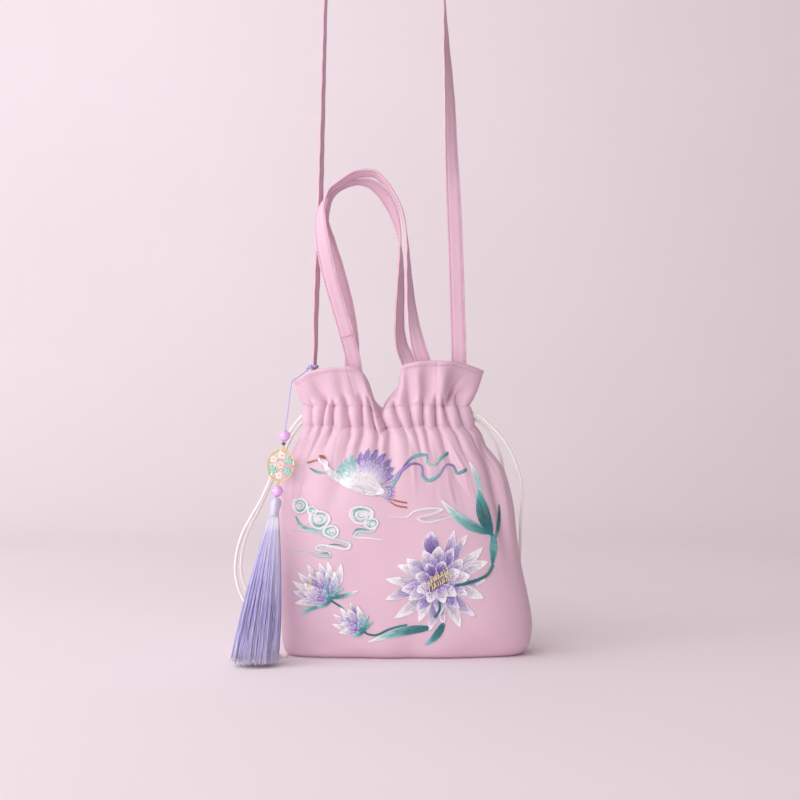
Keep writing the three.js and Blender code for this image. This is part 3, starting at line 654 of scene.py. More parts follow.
def make_strap(name, stations, steps):
    centre, along, wide, face = strap_frames(stations, steps)
    upper = [(-a, t) for a, t in strap_profile[::-1]] + [(a, t) for a, t in strap_profile[1:]]
    ring = upper + [(a, -t) for a, t in upper[::-1]]
    ripple = 0.18 * np.sin(np.arange(steps) * 0.9 + 1.3 * np.sin(np.arange(steps) * 0.23))
    points = [
        centre + wide * (a * strap_wide / 2) + face * (t * strap_thick / 2 + ripple * abs(a))[:, None]
        for a, t in ring
    ]
    return volume_sign(grid_mesh(name, placed(np.stack(points, 1))))


def stitches(name, starts, ends, outs):
    """Short raised threads, each a low bar with pointed ends, joined as one mesh."""
    starts, ends, outs = (np.asarray(v, float) for v in (starts, ends, outs))
    along = ends - starts
    along /= np.linalg.norm(along, axis=1, keepdims=True)
    side = np.cross(along, outs)
    half = stitch_thick / 2
    rows = []
    for share, size in ((0, 0.35), (0.22, 1), (0.78, 1), (1, 0.35)):
        middle = starts + (ends - starts) * share + outs * (half * 0.5 * size)
        for s, o in ((1, 0), (0, 1), (-1, 0), (0, -1)):
            rows.append(middle + side * (s * half * size) + outs * (o * half * size))
    points = np.stack(rows, 1)
    count = len(starts)
    faces = []
    for ring in range(3):
        for k in range(4):
            a, b = ring * 4 + k, ring * 4 + (k + 1) % 4
            faces.append([a, b, b + 4, a + 4])
    faces += [[3, 2, 1, 0], [12, 13, 14, 15]]
    base = np.arange(count)[:, None, None] * 16
    mesh = bpy.data.meshes.new(name)
    corners = (base + np.array(faces)[None]).reshape(-1, 4)
    mesh.from_pydata(placed(points.reshape(-1, 3)).tolist(), [], corners.tolist())
    mesh.polygons.foreach_set("use_smooth", [True] * len(mesh.polygons))
    mesh.update()
    piece = bpy.data.objects.new(name, mesh)
    bpy.context.scene.collection.objects.link(piece)
    return piece


def seam_line(line, outs, step=stitch_step, length=stitch_long):
    """Starts, ends and out directions of stitches along a line of points."""
    reach = np.append(0, np.cumsum(np.linalg.norm(np.diff(line, axis=0), axis=1)))
    first = np.arange(step / 2, reach[-1] - length, step)
    pick = lambda values, at: np.stack([np.interp(at, reach, values[:, i]) for i in range(3)], -1)
    return pick(line, first), pick(line, first + length), pick(outs, first)


def strap_stitches(name, stations, steps):
    centre, along, wide, face = strap_frames(stations, steps)
    lines = []
    for side in (-1, 1):
        for front in (-1, 1):
            path = centre + wide * (side * stitch_place * strap_wide / 2) + face * (front * 0.77)
            lines.append(seam_line(path, face * front))
    if name.startswith("handle_front"):
        join = round(handle_join * steps)
        edge = wide[join] * strap_wide / 2 * 0.92
        over = face[join] * 1.0
        lines.append((centre[join : join + 1] + over - edge, centre[join : join + 1] + over + edge, face[join : join + 1]))
    starts, ends, outs = (np.concatenate(group) for group in zip(*lines))
    return stitches(name, starts, ends, outs)


strap_satin = satin("strap_satin", srgb(233, 197, 213), srgb(224, 183, 201), weave_turn=(0, 0.6, 0.8))
# The stitch thread is a pink darker than the satin's, partly painted shade of the stitch holes.
seam_thread_and_hole_shade = satin("seam_thread_and_hole_shade", srgb(222, 172, 197), srgb(212, 156, 184))
for name, stations, steps in (
    ("handle_front", handle_front, 150),
    ("handle_back", handle_back, 150),
    ("shoulder_strap", shoulder, 340),
):
    strap = make_strap(name + "_satin", stations, steps)
    strap.data.materials.append(strap_satin)
    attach(strap, "root")
    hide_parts(name)
    seam = strap_stitches(name + "_stitches", stations, steps)
    seam.data.materials.append(seam_thread_and_hole_shade)
    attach(seam, "root")

# The machine stitches of the pouch: one row under the frill's hem, and one at each edge of the tunnel. They are
# straight stitches in a pink darker than the satin's: partly the thread's own colour, partly painted shade of their
# holes.
def face_of(surface, row, angle, step):
    """Points of a surface along a row, and the directions straight out of it."""
    tick = 0.02
    along = surface(row, angle + tick) - surface(row, angle - tick)
    out = np.cross(along, surface(row + step, angle) - surface(row - step, angle))
    return surface(row, angle), out / np.linalg.norm(out, axis=-1, keepdims=True)


seam_rows = []
for back in (False, True):
    edges = back_frill if back else front_frill
    for low, high in ((-0.985, -0.22), (0.2, 0.985)):
        reach = np.linspace(low, high, 260)
        part = 1 - 3.0 / read(edges, "across", "high", reach)
        seam_rows.append(seam_line(*face_of(frill_points, part, angle_of(reach, back), 0.02), 2.6, 1.8))
for row in (tunnel_low, neck - 0.4):
    round_it = np.linspace(0, 2 * math.pi, 2400)
    seam_rows.append(seam_line(*face_of(body_points, row + 0 * round_it, round_it, 0.4), 2.4, 1.6))
starts, ends, outs = (np.concatenate(group) for group in zip(*seam_rows))
pouch_seams = stitches("pouch_stitches", starts, ends, outs)
pouch_seams.data.materials.append(seam_thread_and_hole_shade)
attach(pouch_seams, "root")

# The embroidery: silk threads laid by hand on the pouch's front. A lotus spray with leaves, a crane in flight,
# clouds and a ribbon, in long and short stitch, satin stitch and stem stitch. Places are across and up.
front_tree = BVHTree.FromPolygons(
    [v.co for v in pouch.data.vertices], [tuple(face.vertices) for face in pouch.data.polygons]
)
dice = np.random.RandomState(23)
silk_wide = 0.46
palette = {
    name: np.array(srgb(*colour)[:3])
    for name, colour in dict(
        deep=(98, 70, 158), violet=(136, 108, 190), lavender=(180, 158, 218), pale=(226, 212, 236),
        white=(255, 252, 255), cream=(251, 243, 238), gold=(255, 240, 124), amber=(206, 176, 76),
        teal=(14, 116, 122), sea=(44, 152, 156), aqua=(128, 204, 206), mint=(190, 232, 230),
        ink=(58, 52, 78), smoke=(150, 144, 166), red=(198, 92, 78),
    ).items()
}


def shade(names, t):
    """Colour along a row of threads, t from 0 to 1."""
    place = np.clip(t, 0, 1) * (len(names) - 1)
    low = min(int(place), len(names) - 2)
    share = place - low
    return palette[names[low]] * (1 - share) + palette[names[low + 1]] * share


class Stitches:
    """Threads laid side by side, kept as lines of five points with a lift, a width and a colour each."""

    def __init__(self):
        self.lines, self.lifts, self.wides, self.colours = [], [], [], []

    def lay(self, line, colour, lift=0.2, wide=silk_wide, arch=0.22):
        line = np.asarray(line, float)
        share = np.linspace(0, 1, 5)
        place = np.linspace(0, 1, len(line))
        self.lines.append(np.stack([np.interp(share, place, line[:, i]) for i in (0, 1)], -1))
        self.lifts.append(lift + arch * np.array([-1.4, 0.75, 1, 0.75, -1.4]))
        self.wides.append(wide)
        self.colours.append(colour * dice.uniform(0.94, 1.05))

    def petal(self, base, tip, wide, colours, bow=0.0, full=0.85, lift=0.2, edge="white", gap=0.4):
        """Long and short stitches from a petal's base to its tip, and a fine outline."""
        base, tip = np.asarray(base, float), np.asarray(tip, float)
        axis = tip - base
        long = np.linalg.norm(axis)
        across = np.array([-axis[1], axis[0]]) / long

        def at(u, t):
            t = np.asarray(t, float)[..., None]
            half = wide / 2 * np.sin(math.pi * np.clip(t, 0, 1) ** full) ** 0.9
            return base + axis * t + across * (bow * long * np.sin(math.pi * t * 0.9) + u * half)

        rows = max(3, int(wide / gap))
        for u in np.linspace(-0.94, 0.94, rows):
            here = -dice.uniform(0, 0.2)
            while here < 0.95:
                reach = dice.uniform(0.2, 0.36)
                t = np.linspace(max(here, 0.01), min(here + reach, 0.985), 5)
                if t[-1] - t[0] > 0.04:
                    tone = t.mean() + dice.uniform(-0.1, 0.1) + 0.16 * abs(u)
                    self.lay(at(u + dice.uniform(-0.04, 0.04), t), shade(colours, tone), lift)
                here += reach * 0.8
        if edge:
            parts = max(4, int(long / 3.2))
            for u in (-1, 1):
                for k in range(parts):
                    t = np.linspace(k / parts, (k + 1.15) / parts, 5)
                    self.lay(at(u, np.minimum(t, 0.995)), palette[edge], lift + 0.1, 0.42)

    def band(self, path, wide, colours, lift=0.2, slant=0.5, gap=0.42):
        """Satin stitch across a path: threads from edge to edge, a little slanted."""
        path = np.asarray(path, float)
        reach = np.append(0, np.cumsum(np.linalg.norm(np.diff(path, axis=0), axis=1)))
        spots = np.arange(0, reach[-1], gap)
        middle = np.stack([np.interp(spots, reach, path[:, i]) for i in (0, 1)], -1)
        along = np.gradient(middle, axis=0)
        along /= np.linalg.norm(along, axis=1, keepdims=True)
        across = np.stack([-along[:, 1], along[:, 0]], -1)
        for i, spot in enumerate(spots):
            share = spot / reach[-1]
            half = wide(share) / 2 if callable(wide) else wide / 2
            if half < 0.2:
                continue
            half *= dice.uniform(0.92, 1.06)
            low = middle[i] - across[i] * half - along[i] * half * slant
            high = middle[i] + across[i] * half + along[i] * half * slant
            self.lay(np.linspace(low, high, 5), shade(colours, share + dice.uniform(-0.05, 0.05)), lift)

    def stem(self, path, wide, colours, lift=0.2, step=1.7, reach=4.0):
        """Stem stitch: overlapping threads that run along a path, side by side."""
        path = rounded(np.pad(np.asarray(path, float), ((0, 0), (0, 1))), 160)[:, :2]
        far = np.append(0, np.cumsum(np.linalg.norm(np.diff(path, axis=0), axis=1)))
        side = np.gradient(path, axis=0)
        side = np.stack([-side[:, 1], side[:, 0]], -1) / np.linalg.norm(side, axis=1, keepdims=True)
        rows = max(1, int(round(wide / 0.42)))
        for row in range(rows):
            off = (row - (rows - 1) / 2) * 0.42
            start = -dice.uniform(0, step)
            while start < far[-1] - 0.8:
                spots = np.linspace(max(start, 0), min(start + reach, far[-1]), 5)
                line = np.stack([np.interp(spots, far, (path + side * off)[:, i]) for i in (0, 1)], -1)
                tone = spots.mean() / far[-1] + dice.uniform(-0.08, 0.08)
                self.lay(line, shade(colours, tone), lift, arch=0.12)
                start += step + dice.uniform(0.2, 1.0)

    def build(self, name):
        lines, lifts = np.array(self.lines), np.array(self.lifts)
        wides, colours = np.array(self.wides), np.array(self.colours)
        count, steps = lines.shape[:2]
        flat = lines.reshape(-1, 2)
        spots, outs = np.empty((len(flat), 3)), np.empty((len(flat), 3))
        for i, (x, z) in enumerate(flat):
            start = placed((x, -80, z))
            hit, normal, _, _ = front_tree.ray_cast(Vector(start), Vector((0, 1, 0)))
            spots[i] = np.array(hit) / mm + strap_top if hit else (x, -30, z)
            outs[i] = normal if hit and normal.y < 0 else (0, -1, 0)
        spots, outs = spots.reshape(count, steps, 3), outs.reshape(count, steps, 3)
        outs = outs + outs.mean(1, keepdims=True)
        outs /= np.linalg.norm(outs, axis=-1, keepdims=True)
        middle = spots + outs * lifts[..., None]
        along = np.gradient(middle, axis=1)
        along /= np.linalg.norm(along, axis=-1, keepdims=True) + 1e-9
        side = np.cross(along, outs)
        side /= np.linalg.norm(side, axis=-1, keepdims=True) + 1e-9
        half = wides[:, None, None] / 2 * np.array([0.45, 1, 1.05, 1, 0.45])[None, :, None]
        corners = [middle + side * half * a + outs * half * b for a, b in ((1, 0), (0, 0.8), (-1, 0))]
        points = np.stack(corners, 2)
        index = np.arange(count * steps * 3).reshape(count, steps, 3)
        low, high = index[:, :-1], index[:, 1:]
        quads = np.stack([low, np.roll(low, -1, 2), np.roll(high, -1, 2), high], -1).reshape(-1, 4)
        ends = np.concatenate([index[:, 0, ::-1], index[:, -1]])
        mesh = bpy.data.meshes.new(name)
        mesh.from_pydata(placed(points.reshape(-1, 3)).tolist(), [], quads.tolist() + ends.tolist())
        mesh.polygons.foreach_set("use_smooth", [True] * len(mesh.polygons))
        tint = np.ones((count * steps * 3, 4))
        tint[:, :3] = np.repeat(colours, steps * 3, axis=0)
        mesh.attributes.new("thread", "FLOAT_COLOR", "POINT").data.foreach_set("color", tint.ravel())
        mesh.update()
        piece = bpy.data.objects.new(name, mesh)
        bpy.context.scene.collection.objects.link(piece)
        piece.data.materials.append(embroidery_silk)
        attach(piece, "root")


def embroidery_paint(wire):
    place = wire.node("TexCoord", output="Object")
    colour = wire.node("Attribute", {"attribute_name": "thread"}, output="Color")
    twist = wire.node("TexNoise", None, {"Vector": place, "Scale": 1500.0, "Detail": 2.0}, output="Fac")
    light = twist.node("Mix", {"data_type": "RGBA", "blend_type": "MULTIPLY"},
                       {0: 0.2, 6: colour, 7: twist.mix(srgb(226, 222, 228), srgb(255, 255, 255))}, output=2)
    return {"Base Color": light, "Roughness": 0.34 + twist * 0.2}


embroidery_silk = finish("embroidery_silk", embroidery_paint, Sheen_Weight=0.45, Sheen_Roughness=0.35, Specular_IOR_Level=0.55)


def polar(middle, degrees, reach):
    angle = math.radians(degrees)
    return np.array(middle) + reach * np.array([math.cos(angle), math.sin(angle)])


def curve(*points):
    return rounded(np.pad(np.array(points, float), ((0, 0), (0, 1))), 90)[:, :2]


# The open lotus: long pale petals outside, fuller violet ones inside, and a tuft of stamens over a dark heart.
lotus = Stitches()
heart = np.array([31.5, 65.0])
pale_petal = ("violet", "lavender", "pale", "white", "white")
rich_petal = ("deep", "violet", "lavender", "pale", "white")
dark_petal = ("deep", "deep", "violet", "lavender", "white")
outer_petals = table(
    "turn reach wide root kind bow",
    (97, 43.5, 13.5, 20, 2, 0.05), (72, 46, 8, 17, 1, -0.04), (56, 47.5, 8.5, 14, 1, 0.05), (39, 48.5, 9, 12, 0, -0.05),
    (20, 46, 10, 12, 0, 0.05), (3, 41, 8, 10, 1, -0.06), (-19, 41, 9.5, 9, 0, 0.04), (-42, 42.5, 9, 9, 1, -0.05),
    (-63, 42, 9, 9, 0, 0.04), (-79, 36, 8, 8, 1, -0.04), (-101, 40.5, 9, 8, 1, 0.05), (-115, 36, 8, 8, 0, -0.04),
    (-143, 46.5, 9.5, 10, 0, 0.05), (-163, 46, 9, 10, 1, -0.04), (176, 44, 8.5, 10, 0, 0.04), (155, 37, 9, 10, 0, -0.03),
)
inner_petals = table(
    "turn reach wide root kind bow",
    (139, 33, 13.5, 7, 1, 0.05), (114, 30, 12, 7, 1, -0.03), (88, 31, 13, 8, 1, 0.02), (64, 32, 10, 8, 2, 0.04),
    (188, 31, 10.5, 7, 1, 0.04), (-22, 27, 9.5, 6, 1, 0.05), (-50, 28, 9, 6, 2, -0.05), (-88, 27, 9.5, 5, 1, 0.04),
    (-126, 29, 9, 6, 2, 0.05), (-152, 28, 10, 6, 1, -0.04), (44, 29, 10, 8, 1, -0.05), (10, 28, 10.5, 7, 0, 0.04),
    (-35, 19, 9, 3, 0, 0.0), (-75, 17.5, 9.5, 2, 0, 0.03), (-116, 18, 9, 3, 0, -0.04), (-160, 19, 9, 4, 0, 0.0),
    (30, 21, 10, 6, 0, 0.0), (160, 20, 9.5, 5, 1, 0.0), (118, 19, 9, 6, 2, 0.0), (76, 19, 9.5, 6, 2, 0.0),
)
kinds = (pale_petal, rich_petal, dark_petal)
for base_lift, ring in ((0.15, outer_petals), (0.45, inner_petals)):
    for place, (turn, reach, wide, root, kind, bow) in enumerate(zip(*ring.values())):
        lotus.petal(
            polar(heart, turn, root),
            polar(heart, turn + dice.uniform(-2, 2), reach),
            wide,
            kinds[int(kind)],
            bow=bow,
            full=dice.uniform(0.8, 1.15),
            lift=base_lift + 0.02 * place,
        )
band_turn = math.radians(32)
along_band = np.array([math.cos(band_turn), math.sin(band_turn)])
over_band = np.array([-along_band[1], along_band[0]])
lotus.band(
    np.array([heart - along_band * 11, heart, heart + along_band * 11]) - over_band * 1.2,
    lambda share: 9 * math.sin(math.pi * min(max(share, 0.03), 0.97)) ** 0.6,
    ("deep", "deep", "violet", "deep"),
    0.9,
    slant=0.2,
)
for k in range(22):
    share = (k % 11) / 10 - 0.5
    spot = heart + along_band * (share * 20 + dice.uniform(-0.6, 0.6)) + over_band * (2.4 if k < 11 else -2.6)
    tip = spot + np.array([dice.uniform(-1.2, 0.8), dice.uniform(3.4, 5.2)])
    middle = (spot + tip) / 2 + [dice.uniform(0.4, 1.1), 0]
    lotus.lay(curve(spot, middle, tip), palette["gold"] * dice.uniform(0.95, 1.08), 1.25, 0.85)
    lotus.lay([tip - [0.6, 0.1], tip + [0.6, 0.2]], palette["gold"] * 1.05, 1.4, 0.95)
lotus.build("embroidery_lotus")

# The two smaller flowers on the left, seen from the side, with calyx and stems.
buds = Stitches()


def side_flower(base, petals, lift, stamens):
    """Petals as rows of turn, reach, width and kind, from the back of the flower to its front."""
    for place, (turn, reach, wide, kind) in enumerate(petals):
        buds.petal(polar(base, turn, 2.5), polar(base, turn, reach), wide, kinds[kind],
                   bow=0.06 * math.sin(math.radians(3 * turn)), lift=lift + 0.04 * place)
    for turn, reach in stamens:
        spot = polar(base, turn, reach)
        buds.lay(curve(spot, spot + [-0.6, 1.4], spot + [0.2, 2.8]), palette["gold"], lift + 1.0, 0.7)
        buds.lay([spot + [-0.5, 2.8], spot + [0.8, 3.0]], palette["gold"] * 1.05, lift + 1.1, 0.9)


left_flower, left_bud = (-57.5, 50.5), (-30.5, 25.0)
side_flower(
    left_flower,
    ((96, 33, 7, 0), (75, 32, 8, 0), (124, 36, 8, 1), (140, 36, 8.5, 1), (108, 33, 8, 1), (154, 36, 8, 0), (168, 33, 8.5, 1),
     (187, 31, 8, 0), (131, 29, 8, 2), (116, 27, 8.5, 1), (148, 27, 8.5, 0), (166, 24, 7.5, 1), (100, 24, 8, 2), (84, 25, 7, 0)),
    0.2,
    ((143, 20), (139, 21.5), (148, 20.5), (135, 22.5), (126, 25), (122, 26.5), (152, 22)),
)
side_flower(
    left_bud,
    ((115, 27, 6, 2), (134, 28, 6.5, 0), (149, 29, 6, 1), (167, 27, 6, 0), (184, 21, 5.5, 0), (140, 22, 6.5, 2),
     (124, 23, 7, 1), (156, 20, 6.5, 1), (104, 22, 6, 0), (172, 16, 5, 1)),
    0.35,
    (),
)
for base, reach in ((left_flower, 17), (left_bud, 13)):
    for turn, share in ((96, 1.15), (70, 1.1), (44, 0.9), (120, 0.7), (205, 0.8)):
        buds.petal(polar(base, turn, -1), polar(base, turn, reach * share), 3.2, ("teal", "sea", "aqua", "mint"),
                   bow=0.08, lift=0.75, edge=None)
buds.stem(((-58, 50.5), (-54, 48), (-50, 45.5), (-47.5, 43.5)), 1.7, ("teal", "teal", "sea"), 0.3)
buds.stem(((-31, 25.5), (-27, 22.5), (-20, 21.7), (-10, 26.2), (-2, 28.8), (6, 30.4)), 1.7, ("teal", "teal", "sea"), 0.3)
buds.petal((-57, 50), (-84, 36), 4.6, ("teal", "sea", "aqua", "mint"), bow=-0.06, lift=0.3, edge=None)
buds.petal((-57, 52), (-34, 59.5), 4.0, ("teal", "sea", "mint", "white"), bow=-0.05, lift=0.3, edge=None)
buds.build("embroidery_buds")

# Leaves and the long stem on the right: satin stitch from deep teal to mint.
leaves = Stitches()
leaves.stem(((45, 62.8), (55, 64.5), (66, 67.8), (73, 71.5), (78, 79.5)), 2.5, ("teal", "teal", "sea"), 0.9)
for base, tip, wide, tones, bow, full, lift in (
    ((77, 78), (77.5, 106), 7, ("teal", "sea", "aqua", "sea"), -0.04, 1.2, 0.3),
    ((68, 138), (57.5, 166), 4.6, ("mint", "mint", "white"), -0.06, 0.9, 0.25),
    ((76.5, 105), (35, 136), 9, ("teal", "sea", "aqua", "mint", "white"), 0.1, 0.8, 0.4),
    ((77, 103), (66.5, 143), 11.5, ("sea", "teal", "teal", "sea", "aqua"), 0.05, 0.9, 0.5),
    ((79.5, 99), (83.5, 130), 3.2, ("aqua", "sea", "teal", "teal"), -0.05, 1.0, 0.35),
    ((27, 28), (-27, 14.5), 7.5, ("teal", "teal", "sea", "aqua", "mint", "white"), -0.05, 0.7, 0.35),
    ((37, 33), (20, 13.5), 6.5, ("teal", "teal", "sea", "aqua"), 0.1, 0.8, 0.45),
):
    leaves.petal(base, tip, wide, tones, bow=bow, full=full, lift=lift, edge=None)
leaves.stem(((32.5, 50), (33, 44), (31, 39.5), (28.5, 36.5)), 1.9, ("teal", "teal"), 1.1)
leaves.build("embroidery_leaves")

# Clouds: lobed heads of white silk ringed with mint, and tails that stream below them.
clouds = Stitches()


def circle(middle, wide, tall, start=0.0, turns=1.0):
    angle = np.radians(start) + np.linspace(0, 2 * math.pi * turns, 60)
    return np.stack([middle[0] + wide * np.cos(angle), middle[1] + tall * np.sin(angle)], -1)


def lobed(middle, wide, tall, start, turns=1.0, lobes=3, deep=0.05):
    angle = np.radians(start) + np.linspace(0, 2 * math.pi * turns, 90)
    reach = 1 + deep * np.cos(lobes * angle + start)
    return np.stack([middle[0] + wide * reach * np.cos(angle), middle[1] + tall * reach * np.sin(angle)], -1)


def tapered(wide):
    return lambda share: wide * (0.35 + 0.65 * math.sin(math.pi * min(0.98, share * 0.92 + 0.06)))


for middle, wide, tall, start in (
    ((-84, 128.5), 6.2, 6.0, 200), ((-67.5, 117.5), 8.6, 7.2, 150), ((-57.5, 107.5), 6.2, 4.8, 60),
    ((-32, 121.5), 9.6, 7.0, 30), ((-73.5, 124.5), 3.8, 3.4, 0), ((-24, 114.5), 5.6, 4.2, 300),
):
    middle = np.array(middle)
    across = np.array([[-wide, 0], [0, 0], [wide, 0]]) + middle
    clouds.band(across, lambda s: 2 * tall * math.sqrt(max(0.02, 1 - (2 * s - 1) ** 2)), ("white", "white"), 0.2, slant=0.1)
    clouds.band(lobed(middle, wide, tall, start), 2.5, ("white", "white"), 0.42)
    clouds.band(lobed(middle, wide * 0.7, tall * 0.68, start, 0.62), tapered(1.9), ("mint", "aqua", "aqua", "mint"), 0.5)
    clouds.band(lobed(middle, wide * 0.66, tall * 0.64, start + 236, 0.26), tapered(1.4), ("mint", "aqua"), 0.5)
    clouds.band(lobed(middle, wide * 0.3, tall * 0.3, start + 90, 0.6), 1.0, ("mint", "aqua", "mint"), 0.5)
for line, wide, tones in (
    (((-88, 119), (-84, 113), (-76, 109), (-66, 109), (-56, 104)), 3.0, ("aqua", "aqua", "mint", "white")),
    (((-87, 113), (-80, 112), (-76, 115)), 1.2, ("mint", "white")),
    (((-89, 108), (-78, 108), (-68, 106), (-58, 102), (-48, 100), (-41, 97), (-44, 93), (-56, 95), (-68, 96), (-70, 92),
      (-60, 91), (-58, 87), (-68, 87), (-80, 91), (-92, 92)), 3.0, ("white", "mint", "white", "white", "mint", "white")),
    (((-64, 95), (-54, 97), (-45, 95)), 1.1, ("aqua", "sea", "aqua")),
    (((-66, 89), (-60, 89.4), (-60, 86)), 1.0, ("aqua", "sea", "aqua")),
    (((-24, 116), (-20, 111), (-24, 107.5), (-36, 107.5), (-38, 103.5), (-28, 102.5), (-14, 101)), 2.8,
     ("white", "mint", "white", "white")),
    (((-26, 109.5), (-36, 109.6), (-40, 105)), 1.1, ("aqua", "sea", "aqua")),
    (((-8, 120.5), (6, 120), (12, 124.5), (24, 127), (36, 126), (26, 122), (15, 119), (22, 115.5), (36, 118), (51, 122.5)), 2.6,
     ("cream", "white", "cream", "white", "cream")),
    (((18, 117.6), (30, 120.2), (40, 119)), 1.0, ("pale", "cream", "pale")),
    (((-76, 160), (-70, 157), (-62, 156)), 2.2, ("sea", "aqua", "mint")),
):
    clouds.band(curve(*line), tapered(wide), tones, 0.3)
clouds.build("embroidery_clouds")

# The ribbon: two strands that wave beside each other and change from teal to violet.
ribbon = Stitches()
for line, thin, thick, tones in (
    (((-20, 138), (-10, 142), (-2, 152), (4, 163), (12, 170), (22, 171), (23, 165), (29, 163), (35, 169), (41, 173)), 1.7, 1.2,
     ("sea", "aqua", "aqua", "lavender", "violet", "aqua", "aqua", "mint", "aqua", "sea")),
    (((-16, 147), (-7, 150), (1, 158), (10, 164), (18, 162), (19, 154), (24, 150), (32, 154), (39, 163), (45, 162), (48, 156),
      (56, 159)), 1.6, 1.5,
     ("lavender", "pale", "lavender", "lavender", "violet", "lavender", "aqua", "aqua", "lavender", "violet", "aqua", "sea")),
):
    ribbon.band(curve(*line), lambda s: thin + thick * abs(math.sin(8 * s)), tones, 0.35)
ribbon.build("embroidery_ribbon")

# The crane: it flies to the left with its wings raised, and its legs trail.
crane = Stitches()
wing_root = np.array([-31.0, 144.0])
far_feather = ("white", "white", "pale", "lavender", "violet")
near_feather = ("white", "white", "white", "pale", "lavender")
for k in range(7):
    crane.petal(wing_root + [9 - 1.2 * k, 0.5], polar(wing_root + [5, 0], 24 + 13 * k, 34 - 1.1 * abs(k - 4) ** 1.6), 8,
                far_feather, bow=0.08, full=1.15, lift=0.2 + 0.03 * k)
for k in range(6):
    crane.petal(wing_root + [5 - 1.1 * k, 0], polar(wing_root + [2, 0], 34 + 15 * k, 23 - 0.9 * abs(k - 3)), 8,
                near_feather, bow=0.06, full=1.1, lift=0.45 + 0.03 * k)
for k in range(5):
    crane.petal(wing_root + [-6 - 1.2 * k, 1.5], polar(wing_root + [-8, 1], 98 + 14 * k, 27 - 2.0 * k), 6.6,
                ("white", "white", "mint", "aqua"), bow=-0.08, full=1.1, lift=0.65 + 0.03 * k)
for k in range(4):
    crane.petal((-17, 140.5), polar((-19, 141), -30 + 15 * k, 15), 5.4, ("white", "pale", "lavender", "violet"), lift=0.4)
crane.petal((-12, 139.5), (-51, 147), 15, ("white", "white", "white"), bow=-0.08, full=0.95, lift=0.95)
crane.petal((-42, 147), (-64, 165.5), 6.4, ("white", "white", "white"), bow=0.12, full=1.0, lift=1.05, edge=None)
crane.petal((-60, 162.5), (-69, 167.5), 5.4, ("white", "white", "white"), full=0.9, lift=1.05, edge=None)
crane.stem(((-68, 167), (-73, 166), (-78, 164)), 1.1, ("amber", "red"), 1.0)
crane.petal((-62.5, 168.2), (-68.5, 170.3), 3.0, ("red", "red"), lift=1.15, edge=None)
crane.lay([(-67.3, 167.0), (-66.0, 167.2)], palette["ink"], 1.5, 0.7)
for lean in (0, 3.8):
    crane.stem(((-14, 138 - lean / 3), (-4, 133.5 - lean), (6, 131.5 - lean)), 1.1, ("cream", "red", "red"), 0.4)
crane.build("embroidery_crane")

# The drawstrings: soft white cord, laid of three plies. It runs through the tunnel from both ends, and at each
# end its two strands hang down the side of the pouch to an overhand knot with two short tails.
cord_thick, cord_pitch = 2.6, 7.5
left_front_route = (
    (-83.4, -2.6, 204.6), (-88.5, -3.2, 199), (-92.5, -3.6, 193.5), (-97, -4.2, 185), (-102, -5, 173),
    (-107.5, -6, 159), (-113, -7, 145), (-119.5, -8, 131), (-127.5, -8.5, 117), (-134.5, -9, 103.5),
    (-139, -9.5, 88), (-140.5, -10, 71), (-137.5, -11, 57), (-131, -12.5, 43), (-122.5, -14.5, 30),
    (-115, -18, 17.5), (-108.8, -21, 7.2),
)
left_back_route = (
    (-83.6, 1, 198.8), (-89, 1.5, 192.5), (-93.5, 1.5, 185), (-98.5, 1, 174.5), (-104, 0, 162),
    (-109.5, -1.5, 149), (-115, -3, 136), (-121, -4, 123), (-127.5, -4.5, 110.5), (-132.5, -5, 98),
    (-135.5, -5, 84), (-136, -5.5, 71), (-132.5, -6.5, 58), (-126, -8, 45), (-118, -10, 32),
    (-110.6, -13.8, 19.5), (-106, -19, 8.4),
)
right_front_route = (
    (62.2, -2.4, 206.8), (70.5, -3, 202.5), (77, -3, 196.5), (84, -2.5, 189.5), (90.5, -2, 181),
    (96, -1, 171.5), (100.3, 0, 161), (103.5, 1, 150), (105.2, 3, 138), (104.8, 6, 124),
    (104.4, 10, 109), (104.6, 16, 94), (104.8, 24, 79), (103.5, 33, 63), (99.5, 41, 47),
    (95.8, 46, 31), (94.2, 49, 15.4),
)
right_back_route = (
    (63.6, 2, 202), (70.5, 3, 197), (76, 4, 191), (81, 6, 183), (85.5, 9.5, 173), (89, 14, 162),
    (91, 20, 149), (91.5, 27.5, 134), (91, 34.5, 118), (90.5, 40, 101), (90.5, 43.5, 83),
    (90.5, 45.6, 65), (90.5, 47, 48), (90, 47.8, 32), (89.4, 49, 15.4),
)


def swept(line, radius, sides, plies=0, depth=0.0, pitch=1.0, flat=1.0):
    """Rings of a cord, thread or wire along a line of points. Its plies wind round it once in each pitch."""
    along = np.gradient(line, axis=0)
    along /= np.linalg.norm(along, axis=1, keepdims=True)
    side = np.empty_like(along)
    first = np.cross(along[0], (0, 0, 1.0) if abs(along[0, 2]) < 0.9 else (1.0, 0, 0))
    for i in range(len(line)):
        first = first - along[i] * (first @ along[i])
        first /= np.linalg.norm(first)
        side[i] = first
    reach = np.append(0, np.cumsum(np.linalg.norm(np.diff(line, axis=0), axis=1)))[:, None]
    turn = np.linspace(0, 2 * math.pi, sides, endpoint=False)[None]
    wave = 0.5 - 0.5 * np.cos(plies * (turn - 2 * math.pi * reach / pitch))
    size = np.broadcast_to(np.asarray(radius, float), (len(line),))[:, None] * (1 - depth * wave)
    return (
        line[:, None]
        + side[:, None] * (size * np.cos(turn))[..., None]
        + np.cross(along, side)[:, None] * (size * flat * np.sin(turn))[..., None]
    )


